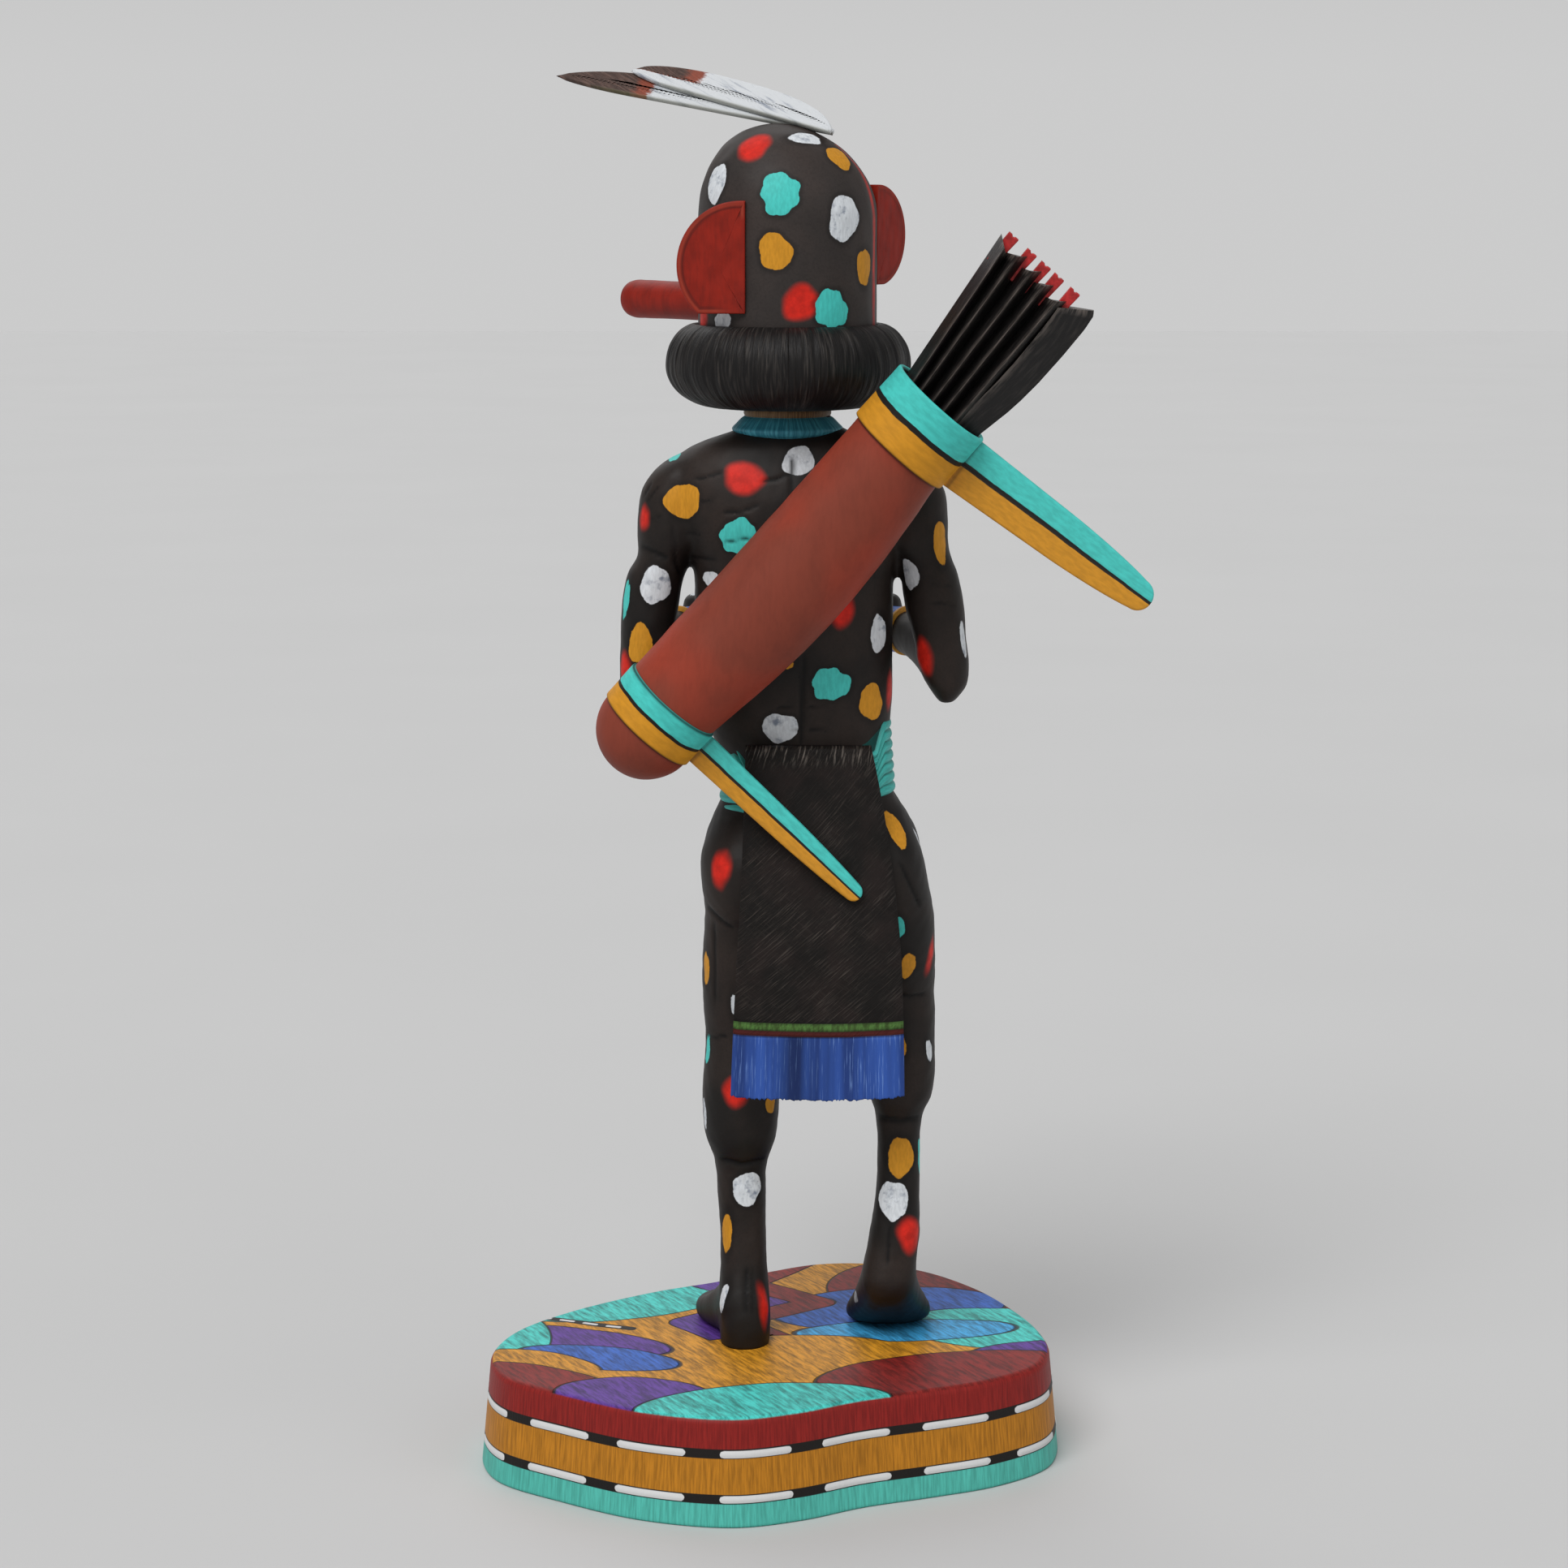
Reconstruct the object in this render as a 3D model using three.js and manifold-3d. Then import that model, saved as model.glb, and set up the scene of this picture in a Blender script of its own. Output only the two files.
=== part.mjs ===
// A carved and painted wooden kachina doll on its base: round head with a hair ruff, ears and a tube snout,
// a quiver of arrows across the back, an apron, and one foot raised on its ball.
// Millimetres, +Z up. The origin is the middle of the base's underside. The body faces -Y, its left is +X.
import * as THREE from 'three';
import { mergeVertices } from 'three/addons/utils/BufferGeometryUtils.js';
import Module from 'manifold-3d';

const wasm = await Module();
wasm.setup();

// Clearance between pieces that touch
const fitGap = 0.3;

// Base
const baseWidth = 202;
const baseDepth = 196;
const baseHeight = 37;
const baseEdgeRound = 2.6;
const baseBatter = 3.2;

// Figure, from its soles to the crown of its head; its free forms are drawn at drawnHeight and scaled
const figureHeight = 424;
const drawnHeight = 424;
const headRadius = 30.4;
const headDomeRise = 32;
const crownLean = 3.8;
const ruffRadius = 41.5;
const ruffHeight = 28.4;
const collarRadius = 19.8;
const collarHeight = 8.2;
const headTurnDegrees = 42;
const beltProud = 1.3;
const beltPleats = 3;
const apronThickness = 4.8;
const backApronFolds = 10;
const frontApronFolds = 6;
const cuffLength = 11;
const cuffRadius = 8.8;

// Ears and snout
const leftEarRadius = 21.4;
const rightEarRadius = 17.1;
const earThickness = 4.2;
const earRound = 0.9;
const earSeat = 1.6;
const leftEarDrop = 16;
const snoutRadius = 6.7;
const snoutLength = 52.2;
const snoutSeat = 3;

// Feathers
const longFeatherLength = 103;
const longFeatherWidth = 11.8;
const shortFeatherLength = 79;
const shortFeatherWidth = 12.6;
const featherThickness = 1.8;
const featherLift = 0.7;

// Quiver, its bands, ties and arrows
const quiverRadius = 17.2;
const quiverBelly = 2.3;
const quiverLength = 149;
const quiverSlopeDegrees = 48.4;
const quiverLeanDegrees = 5.4;
const quiverLetIn = 0.8;
const upperBandWidth = 21.7;
const upperBandRadius = 18.7;
const lowerBandWidth = 13.8;
const lowerBandRadius = 18;
const socketWall = 1.7;
const socketDepth = 14;
const tieThickness = 3.4;
const upperTieLength = 79;
const upperTieWidth = 19.4;
const lowerTieLength = 75;
const lowerTieWidth = 11.4;
const bundleLength = 52.5;
const nockLength = 8.4;
const nockWidth = 3.6;

const unit = figureHeight / drawnHeight;
const soleHeight = baseHeight + fitGap;
const neckAxisX = -5.8 * unit;
const ruffBottom = 328.2 * unit;
const domeStart = figureHeight - headDomeRise;

const paint = {
  body: 0x37302d, red: 0x87231a, quiver: 0x823c30, white: 0xd7dce1, teal: 0x50d2c3, base: 0x9b6a2a,
  fletching: 0x171515,
};

const degrees = (angle) => THREE.MathUtils.degToRad(angle);
const vector = (x, y, z) => new THREE.Vector3(x, y, z);

// Solids and booleans

function toSolid(geometry) {
  const bare = new THREE.BufferGeometry();
  bare.setAttribute('position', geometry.getAttribute('position').clone());
  if (geometry.index) bare.setIndex(geometry.index.clone());
  const merged = mergeVertices(bare, 1e-4);
  return new wasm.Manifold(new wasm.Mesh({
    numProp: 3,
    vertProperties: new Float32Array(merged.getAttribute('position').array),
    triVerts: new Uint32Array(merged.index.array),
  }));
}

function toGeometry(solid) {
  const mesh = solid.getMesh();
  const geometry = new THREE.BufferGeometry();
  geometry.setAttribute('position', new THREE.BufferAttribute(new Float32Array(mesh.vertProperties), 3));
  geometry.setIndex(new THREE.BufferAttribute(new Uint32Array(mesh.triVerts), 1));
  geometry.computeVertexNormals();
  return geometry;
}

const join = (solids) => solids.reduce((whole, solid) => whole.add(solid));

// One closed geometry through rings of equally many points, with a fan at each end.
function loft(rings) {
  const count = rings[0].length;
  const points = rings.flat();
  const indices = [];
  for (let row = 0; row + 1 < rings.length; row += 1) {
    for (let i = 0; i < count; i += 1) {
      const a = row * count + i;
      const b = row * count + (i + 1) % count;
      indices.push(a, b, a + count, b, b + count, a + count);
    }
  }
  for (const [row, flip] of [[0, true], [rings.length - 1, false]]) {
    const middle = rings[row].reduce((sum, point) => sum.add(point), vector(0, 0, 0)).divideScalar(count);
    const centre = points.push(middle) - 1;
    for (let i = 0; i < count; i += 1) {
      const a = row * count + i;
      const b = row * count + (i + 1) % count;
      indices.push(centre, flip ? b : a, flip ? a : b);
    }
  }
  if (signedVolume(points, indices) < 0) indices.reverse();
  const geometry = new THREE.BufferGeometry().setFromPoints(points);
  geometry.setIndex(indices);
  return geometry;
}

function signedVolume(points, indices) {
  let volume = 0;
  for (let i = 0; i < indices.length; i += 3) {
    const [a, b, c] = [points[indices[i]], points[indices[i + 1]], points[indices[i + 2]]];
    volume += a.dot(vector(0, 0, 0).crossVectors(b, c)) / 6;
  }
  return volume;
}

// A rounded section: 2 is an ellipse and more is squarer.
function roundedPoint(angle, halfWidth, halfDepth, squareness) {
  const power = 2 / squareness;
  const c = Math.cos(angle);
  const s = Math.sin(angle);
  return [
    halfWidth * Math.sign(c) * Math.abs(c) ** power,
    halfDepth * Math.sign(s) * Math.abs(s) ** power,
  ];
}

// Level sections up a limb that stands: each station is [x, y, z, half width, half depth].
function column(stations, sides, squareness = 2.2) {
  const rings = stations.map(([x, y, z, halfWidth, halfDepth]) => {
    const ring = [];
    for (let i = 0; i < sides; i += 1) {
      const [dx, dy] = roundedPoint((2 * Math.PI * i) / sides, halfWidth, halfDepth, squareness);
      ring.push(vector(x + dx, y + dy, z).multiplyScalar(unit));
    }
    return ring;
  });
  return toSolid(loft(rings));
}

// Sections square to the path of a limb that lies over: the same stations.
function limb(stations, sides, squareness = 2.2) {
  const centres = stations.map(([x, y, z]) => vector(x, y, z));
  const rings = stations.map(([, , , halfWidth, halfDepth], k) => {
    const along = centres[Math.min(k + 1, centres.length - 1)].clone()
      .sub(centres[Math.max(k - 1, 0)]).normalize();
    const side = vector(1, 0, 0).addScaledVector(along, -along.x).normalize();
    const up = vector(0, 0, 0).crossVectors(side, along);
    const ring = [];
    for (let i = 0; i < sides; i += 1) {
      const [dx, dy] = roundedPoint((2 * Math.PI * i) / sides, halfWidth, halfDepth, squareness);
      ring.push(centres[k].clone().addScaledVector(side, dx).addScaledVector(up, dy).multiplyScalar(unit));
    }
    return ring;
  });
  return toSolid(loft(rings));
}

// A turned form about the head's axis; the profile is [radius, height, lean to the left] from the bottom up,
// in true size.
function turned(profile, sides, ripple = 0, lobes = 0) {
  const rings = profile.map(([radius, height, lean = 0]) => {
    const ring = [];
    for (let i = 0; i < sides; i += 1) {
      const angle = (2 * Math.PI * i) / sides;
      const r = radius * (1 + ripple * Math.cos(lobes * angle));
      ring.push(vector(neckAxisX + lean + r * Math.sin(angle), r * Math.cos(angle), height));
    }
    return ring;
  });
  return toSolid(loft(rings));
}

// Head, ruff and collar

function headSolid() {
  const rows = 6;
  const profile = [[headRadius, ruffBottom + 0.6 * ruffHeight]];
  for (let k = 0; k < rows; k += 1) {
    const angle = (k / rows) * (Math.PI / 2);
    const rise = Math.sin(angle);
    profile.push([headRadius * Math.cos(angle), domeStart + headDomeRise * rise, crownLean * rise ** 2]);
  }
  profile.push([headRadius * 0.08, figureHeight, crownLean]);
  return turned(profile, 28);
}

function ruffSolid() {
  const profile = [
    [14, 0.03], [24, 0], [32.5, 0.07], [38.5, 0.22], [41.3, 0.42], [41.3, 0.6], [39.4, 0.8], [35.5, 0.95], [29, 1],
  ];
  const drawnRadius = 41.5;
  const rings = profile.map(([radius, share]) => (
    [(radius * ruffRadius) / drawnRadius, ruffBottom + share * ruffHeight]
  ));
  return turned(rings, 28, 0.008, 14);
}

function collarSolid() {
  const top = ruffBottom + 1;
  const neckShare = 0.72;
  return turned([
    [collarRadius * 0.9, top - collarHeight - 2],
    [collarRadius, top - collarHeight],
    [collarRadius * neckShare, top - 2.6],
    [collarRadius * neckShare * 0.97, top],
  ], 20);
}

// Torso: each station is [z, x of the middle, half width, depth behind, depth in front].
const torsoStations = [
  [153, -16, 27, 15, 11], [161, -15.5, 36, 23, 17], [171, -14.5, 37.6, 25.5, 19], [181, -14.3, 36.6, 24.5, 20],
  [188, -13.9, 33.4, 22, 20], [195, -13.2, 29.6, 20, 20], [204, -12.4, 27.6, 19.5, 20],
  [215, -10.3, 30.4, 19, 20.5], [228, -8.6, 33.4, 20, 21], [243, -8, 34, 21.5, 22], [258, -8, 34.2, 23.5, 23.5], [273, -8, 34.6, 25, 25.5], [284, -7.8, 38, 25.5, 26],
  [294, -7.7, 42, 25, 25], [303, -7.6, 43.5, 23, 22], [311, -7.5, 40, 20, 19], [316.5, -7.4, 31, 17.5, 16],
  [320.5, -7, 19, 14, 13], [327, -6.8, 12.5, 11.5, 11.5],
];
const spineX = -9;
const spineDepth = 1.1;

function torsoRing([z, middle, halfWidth, behind, front]) {
  const sides = 24;
  const ring = [];
  for (let i = 0; i < sides; i += 1) {
    const angle = (2 * Math.PI * i) / sides;
    const depth = Math.sin(angle) > 0 ? behind : front;
    const [dx, dy] = roundedPoint(angle, halfWidth, depth, 2.35);
    const onSpine = Math.sin(angle) > 0 && Math.abs(middle + dx - spineX) < 3;
    ring.push(vector(middle + dx, dy - (onSpine ? spineDepth : 0), z).multiplyScalar(unit));
  }
  return ring;
}

const torsoSolid = () => toSolid(loft(torsoStations.map(torsoRing)));

// Belt of slanting pleats round the waist
function beltSolid() {
  const middle = -12.6;
  const halfWidth = 29.4;
  const topNarrowing = 1.8;
  const halfDepth = 20.4;
  const bottom = 192;
  const height = 26;
  const slant = -0.12;
  const rows = beltPleats * 2;
  const rings = [];
  for (let row = 0; row <= rows; row += 1) {
    const proud = (row % 2 === 1 ? beltProud : 0.3 * beltProud) + 0.02 * (rows - row);
    const ring = [];
    const sides = 20;
    for (let i = 0; i < sides; i += 1) {
      const width = halfWidth - (topNarrowing * row) / rows;
      const [dx, dy] = roundedPoint((2 * Math.PI * i) / sides, width, halfDepth, 2.3);
      const out = vector(dx, dy, 0).normalize().multiplyScalar(proud);
      const z = bottom + (row / rows) * height + slant * dx;
      ring.push(vector(middle + dx, dy, z).multiplyScalar(unit).add(out));
    }
    rings.push(ring);
  }
  return toSolid(loft(rings));
}

// Apron hanging from the belt: a flat cloth whose fringe falls in folds. Rows run from the top to the hem.
function apronSolid(rows, facing, folds) {
  const fringeTop = 0.82;
  const sag = 1.4;
  const rings = rows.map(([z, xLeft, xRight, y], row) => {
    const share = (rows[0][0] - z) / (rows[0][0] - rows[rows.length - 1][0]);
    const outer = [];
    const inner = [];
    for (let i = 0; i <= folds; i += 1) {
      const across = i / folds;
      const x = xLeft + (xRight - xLeft) * across;
      const fold = share > fringeTop ? (i % 2 === 0 ? 0.5 : -0.5) : 0;
      const drop = row === rows.length - 1 ? sag * Math.sin(Math.PI * across) : 0;
      outer.push(vector(x * unit, facing * (y * unit + fold), (z - drop) * unit));
      inner.push(vector(x * unit, facing * (y * unit - apronThickness), (z - drop) * unit));
    }
    return [...outer, ...inner.reverse()];
  });
  return toSolid(loft(rings));
}

const backApronRows = [
  [217, 8.5, -34, 24.5], [196, 9, -38, 26.6], [166, 10.2, -42.5, 29.6], [143, 11.5, -44.7, 31.5],
  [118, 12.8, -45.6, 32], [109, 13.2, -45.8, 32], [94, 13.8, -46, 32.2],
];
const frontApronRows = [
  [214, 6, -31, 23.5], [196, 7, -33, 25.5], [166, 8, -36, 26.5], [141, 9, -38, 27.5],
  [120, 10, -39.5, 28], [112, 10.3, -39.8, 28], [99, 10.8, -40.2, 28.2],
];

// Limbs: stations from the top down, [x, y, z, half width, half depth].
const leftLeg = [
  [5, 3, 188, 14, 15], [7.3, 6.5, 173, 17, 19], [7, 6.5, 163, 16.8, 19], [7, 4.4, 155, 15.9, 17.3],
  [7.6, 1.6, 149, 15.5, 16.2], [8.4, 0, 134, 15.6, 16.2], [9, 0, 119, 14.6, 15], [9.6, 0.2, 110, 13.3, 13.4],
  [10, 0, 104, 13, 14.2], [10.5, 0.8, 91, 13.5, 15], [10.6, 1.2, 80, 13.2, 14.6], [10.5, 1.4, 72, 12.1, 13],
  [10.4, 1.4, 66.5, 10, 10.6], [10.5, 1.2, 63, 9.1, 9.6], [10.3, 1.2, 53, 8.6, 9.2], [9.8, 1.8, 38, 8.1, 8.9],
  [9.6, 3, 26, 8.3, 9.6], [9.4, 5, 15, 9, 11.6], [9.2, 6, 6, 9, 12.2], [9.2, 6, -2, 8.6, 11.6],
];
const rightLeg = [
  [-33, 3, 188, 14, 15], [-36.3, 6.5, 175, 16.2, 19], [-38.4, 5.5, 163, 16.5, 18.8], [-40, 1.5, 153, 16.8, 17.2],
  [-41, -2.5, 141, 16.4, 16.4], [-42, -7, 129, 15.7, 15.2], [-43.2, -9.5, 122, 14.3, 13.6],
  [-44.4, -10.5, 117, 13.5, 14], [-45.6, -9.4, 105, 12.2, 14.8], [-46, -7.2, 93, 11.8, 14.4],
  [-45.7, -5.6, 85, 10.6, 12.6], [-45.2, -4.6, 80.5, 8.6, 9.8], [-45.1, -3.8, 77, 8, 9],
  [-45, -1.4, 62, 7.6, 8.5], [-44.6, 1, 51, 7.9, 8.6], [-43.9, 2.8, 42, 9, 8.9], [-43, 4, 34, 9.8, 9.2],
  [-41.8, 4.4, 27, 9.8, 9.6],
];
const leftFoot = [
  [9.2, 12, 9, 8.4, 8.5], [9.6, 6, 12, 9, 12.5], [11.6, -4, 9, 9.2, 10.4], [14.4, -13, 5.6, 10.2, 7.4],
  [16.4, -22, 3.6, 10.9, 5.4], [16.6, -31, 3, 9.6, 4.6], [16, -37.5, 2.6, 6.4, 3.6],
];
const rightFoot = [
  [-41.4, 13.4, 27.6, 7.6, 5.6], [-41.4, 9, 25, 9.6, 9.2], [-41.5, 2, 19, 10.6, 10],
  [-41.7, -6, 11.8, 12.4, 8.6], [-41.9, -12, 7, 14.6, 6.6], [-42, -18, 4, 15.4, 5],
  [-42.2, -27, 3.2, 14, 4.4], [-42.4, -35, 2.8, 10.4, 3.6],
];
const leftUpperArm = [
  [28.6, 0, 312, 4, 6], [29.6, 0, 308.5, 8.2, 10.6], [31.7, 0, 301, 12, 13.4], [33.1, 0.4, 292, 12.4, 14],
  [33.7, 0.8, 282, 12, 13.4], [35.6, 1, 278, 9.9, 12.2], [39.2, 1.4, 271.5, 9.9, 11.8], [41.3, 2, 261, 9.8, 11.6],
  [42.4, 3, 248, 9.3, 11.4], [42.8, 4, 238, 9.1, 10.6], [43.8, 4.6, 231, 7.4, 8.8], [44.2, 4.4, 227, 3.6, 4.8],
];
const rightUpperArm = [
  [-43.8, 0, 312, 4, 6], [-44.9, 0, 308.5, 8.2, 10.6], [-47.2, 0, 301, 12, 13.4], [-48.4, 0.4, 292, 12.4, 14],
  [-49.2, 0.8, 283, 11.8, 13.4], [-51.8, 1, 278.5, 9.8, 12.2], [-54.2, 1.4, 272, 9.9, 11.8],
  [-56.3, 2, 261, 10.2, 11.8], [-58.4, 3, 248, 9, 11.4], [-59.6, 4, 240, 8.8, 10.6],
  [-60.8, 4.6, 232, 6.2, 8.8], [-60.6, 4.4, 227, 2.4, 4.8],
];

// Forearm from the elbow forward to the fist: the elbow is in the upper arm.
function forearmStations(elbow, bend, wrist) {
  const shares = [[0, 7.6, 8.4], [0.25, 8.6, 9], [0.5, 8.4, 8.6], [0.78, 7.4, 7.6], [1, 6.8, 7]];
  const path = new THREE.QuadraticBezierCurve3(vector(...elbow), vector(...bend), vector(...wrist));
  return shares.map(([share, halfWidth, halfDepth]) => [...path.getPoint(share).toArray(), halfWidth, halfDepth]);
}

// Cuff round the wrist, flared to a rim at the elbow side
function cuffSolid(bend, wrist) {
  const from = vector(...bend);
  const along = vector(...wrist).sub(from).normalize();
  const end = vector(...wrist);
  const stations = [[-1, 1], [-0.82, 1], [-0.78, 0.93], [-0.1, 0.9], [0, 0.82]].map(([share, width]) => {
    const at = end.clone().addScaledVector(along, (share * cuffLength) / unit);
    return [at.x, at.y, at.z, (cuffRadius * width) / unit, (cuffRadius * width) / unit];
  });
  return limb(stations, 12, 2);
}

// A closed fist, upright, with its four fingers as ridges down its length
function fistSolid([x, y, z]) {
  const fingers = 4;
  const rows = fingers * 2;
  const half = 9.5;
  const stations = [];
  for (let row = 0; row <= rows; row += 1) {
    const share = row / rows;
    const bulge = 0.72 + 0.28 * Math.sin(Math.PI * share) + (row % 2 === 1 ? 0.07 : 0);
    stations.push([x, y, z - half + 2 * half * share, 7.4 * bulge, 8.8 * bulge]);
  }
  return column(stations, 8, 2.5);
}

function armSolids(upperArm, elbow, bend, wrist, fist) {
  return [
    column(upperArm, 10),
    limb(forearmStations(elbow, bend, wrist), 10, 2),
    cuffSolid(bend, wrist),
    fistSolid(fist),
  ];
}

function figureBlank() {
  return join([
    headSolid(), ruffSolid(), collarSolid(), torsoSolid(), beltSolid(),
    apronSolid(backApronRows, 1, backApronFolds), apronSolid(frontApronRows, -1, frontApronFolds),
    column(leftLeg, 12), column(rightLeg, 12), limb(leftFoot, 10, 2.5), limb(rightFoot, 10, 2.5),
    ...armSolids(leftUpperArm, [43.5, 3, 238], [42, -24, 247], [26, -44, 247], [24.6, -50, 249]),
    ...armSolids(rightUpperArm, [-60, 3, 238], [-58.5, -24, 247], [-41.6, -44, 247], [-40, -50, 249]),
  ]);
}

// Cuts off what reaches below the soles, so that both feet stand flat.
function groundCutter() {
  const depth = 30 * unit;
  const box = new THREE.BoxGeometry(300 * unit, 300 * unit, depth);
  box.translate(0, 0, -depth / 2);
  return toSolid(box);
}

// Directions round the head, measured from straight behind (+Y) towards the figure's left (+X)
const faceAngle = degrees(180 - headTurnDegrees);
const around = (angle) => vector(Math.sin(angle), Math.cos(angle), 0);

// Moves a geometry into the frame of three unit axes at a point.
function placed(geometry, xAxis, yAxis, zAxis, origin) {
  const matrix = new THREE.Matrix4().makeBasis(xAxis, yAxis, zAxis).setPosition(origin);
  return geometry.clone().applyMatrix4(matrix);
}

// Snout: a round tube set in the face, with a softly rounded end

function snoutSolid(grow) {
  const radius = snoutRadius + grow;
  const tip = headRadius + snoutLength;
  const profile = [[0, headRadius - snoutSeat - grow], [radius, headRadius - snoutSeat - grow], [radius * 0.985, tip - 20],
    [radius, tip - 8], [radius * 0.97, tip - 2.2], [radius * 0.8, tip - 0.5], [0, tip]];
  const lathe = new THREE.LatheGeometry(profile.map(([r, h]) => new THREE.Vector2(r, h)), 20);
  const forward = around(faceAngle);
  const side = vector(0, 0, 0).crossVectors(forward, vector(0, 0, 1));
  const height = 363 * unit;
  return toSolid(placed(lathe, side, forward, vector(0, 0, 1), vector(neckAxisX, 0, height)));
}

// Ears: half discs, cut flat below, whose straight back edge is seated in the head

function earSolid(edgeAngle, plateAngle, height, fullRadius, fullDrop, grow) {
  const radius = fullRadius - earRound;
  const drop = fullDrop - earRound;
  const low = Math.asin(drop / radius);
  const outline = new THREE.Shape();
  outline.moveTo(-earSeat - grow, -drop);
  outline.lineTo(radius * Math.cos(low), -drop);
  outline.absarc(0, 0, radius, -low, Math.PI / 2, false);
  outline.lineTo(-earSeat - grow, radius);
  const plate = new THREE.ExtrudeGeometry(outline, {
    depth: earThickness - 2 * earRound + 2 * grow, curveSegments: 11,
    bevelThickness: earRound, bevelSize: earRound, bevelSegments: 1,
  });
  plate.translate(0, 0, -earThickness / 2 + earRound - grow);
  const edge = around(edgeAngle).multiplyScalar(headRadius).add(vector(neckAxisX, 0, height));
  const out = around(plateAngle);
  const up = vector(0, 0, 1);
  const normal = vector(0, 0, 0).crossVectors(out, up);
  return toSolid(placed(plate, out, up, normal, edge));
}

function leftEar(grow) {
  const [edge, plate] = [faceAngle - degrees(107), faceAngle - degrees(44)];
  return earSolid(edge, plate, 377 * unit, leftEarRadius, leftEarDrop, grow);
}

function rightEar(grow) {
  const [edge, plate] = [faceAngle + degrees(120), faceAngle + degrees(75)];
  return earSolid(edge, plate, 386.4 * unit, rightEarRadius, rightEarRadius * 0.98, grow);
}

// Feathers: thin leaf blades with a straight lower edge, laid slanting over the crown in one leaning plane.
// The long one's lower edge passes just over the crown, into which the blade's back is let; the short one
// lies on it and is turned up a little.
const featherRise = degrees(10.3);
const featherHeading = degrees(109);
const featherRoll = degrees(38);
const featherReach = 20.3;
const shortFeatherTurn = degrees(7);
const shortFeatherDrop = 2.4;

const featherAlong = around(featherHeading).multiplyScalar(Math.cos(featherRise))
  .add(vector(0, 0, Math.sin(featherRise)));
const featherLevel = vector(0, 0, 0).crossVectors(vector(0, 0, 1), featherAlong).normalize();
const featherAway = vector(0, 0, 0).crossVectors(featherAlong, featherLevel)
  .multiplyScalar(Math.sin(featherRoll)).addScaledVector(featherLevel, -Math.cos(featherRoll));
const featherFacing = vector(0, 0, 0).crossVectors(featherAlong, featherAway);
const longFeatherRoot = vector(neckAxisX + crownLean, 0, figureHeight + featherLift)
  .addScaledVector(featherAlong, -featherReach);
const shortFeatherRoot = longFeatherRoot.clone().addScaledVector(featherAway, -shortFeatherDrop)
  .addScaledVector(featherFacing, -featherThickness - fitGap);

// The blade is widest at its belly, a share of its length from the root; its shoulder is the fullness
// towards the tip.
function featherOutline(length, width, [belly, shoulder], grow) {
  const widest = length * belly;
  const outline = new THREE.Shape();
  outline.moveTo(-grow, -grow);
  outline.lineTo(length * 0.72, -grow);
  outline.quadraticCurveTo(length * 0.9, -grow, length + grow, width * 0.22);
  outline.bezierCurveTo(length * 0.92, width * shoulder, widest + length * 0.18, width + grow, widest, width + grow);
  outline.bezierCurveTo(widest * 0.6, width + grow, widest * 0.26, width * 0.56, -grow, width * 0.1 + grow);
  return outline;
}

function featherSolid(root, length, width, form, turn, grow) {
  const blade = new THREE.ExtrudeGeometry(featherOutline(length, width, form, grow), {
    depth: featherThickness + 2 * grow, curveSegments: 12, bevelEnabled: false,
  });
  const along = featherAlong.clone().applyAxisAngle(featherFacing, turn);
  const away = featherAway.clone().applyAxisAngle(featherFacing, turn);
  const start = root.clone().addScaledVector(featherFacing, -grow);
  return toSolid(placed(blade, along, away, featherFacing, start));
}

function longFeather(grow) {
  return featherSolid(longFeatherRoot, longFeatherLength, longFeatherWidth, [0.62, 0.62], 0, grow);
}

function shortFeather(grow) {
  return featherSolid(shortFeatherRoot, shortFeatherLength, shortFeatherWidth, [0.44, 0.95], shortFeatherTurn, grow);
}

// Quiver: its own axis runs from the middle of its round end up to its mouth

const quiverUp = vector(
  -Math.sin(degrees(90 - quiverSlopeDegrees)) * Math.cos(degrees(quiverLeanDegrees)),
  Math.sin(degrees(quiverLeanDegrees)),
  Math.cos(degrees(90 - quiverSlopeDegrees)) * Math.cos(degrees(quiverLeanDegrees)),
);
const backDepth = 25.2 * unit;
const quiverMiddle = vector(-8 * unit, backDepth + quiverRadius - quiverLetIn, 278 * unit);
const quiverFoot = quiverMiddle.clone().addScaledVector(quiverUp, -0.505 * quiverLength);
const quiverMouth = quiverFoot.clone().addScaledVector(quiverUp, quiverLength);
const quiverAcross = vector(0, 0, 0).crossVectors(quiverUp, vector(0, 1, 0)).normalize();
const quiverOut = vector(0, 0, 0).crossVectors(quiverAcross, quiverUp);

function onQuiver(across, along, out) {
  return quiverMouth.clone().addScaledVector(quiverAcross, across).addScaledVector(quiverUp, along)
    .addScaledVector(quiverOut, out);
}

// Outer rows of the quiver from its round end to its mouth: [radius, height along its axis]
function quiverRows(grow) {
  const rows = [];
  const endRows = 6;
  for (let k = 1; k < endRows; k += 1) {
    const angle = ((k - 0.2) / (endRows - 0.2)) * (Math.PI / 2);
    rows.push([(quiverRadius + grow) * Math.sin(angle), -(quiverRadius + grow) * Math.cos(angle)]);
  }
  const step = 0.2;
  const lowerTop = lowerBandWidth + grow;
  const upperBottom = quiverLength - upperBandWidth - grow;
  rows.push([quiverRadius + grow, -grow], [lowerBandRadius + grow, step - grow]);
  rows.push([lowerBandRadius + grow, lowerTop], [quiverRadius + grow, lowerTop + step]);
  const bellyRows = 4;
  for (let k = 1; k < bellyRows; k += 1) {
    rows.push([quiverRadius + grow, lowerTop + ((upperBottom - lowerTop) * k) / bellyRows]);
  }
  rows.push([quiverRadius + grow, upperBottom - step], [upperBandRadius + grow, upperBottom]);
  rows.push([upperBandRadius + grow, quiverLength + grow]);
  return rows;
}

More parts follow.
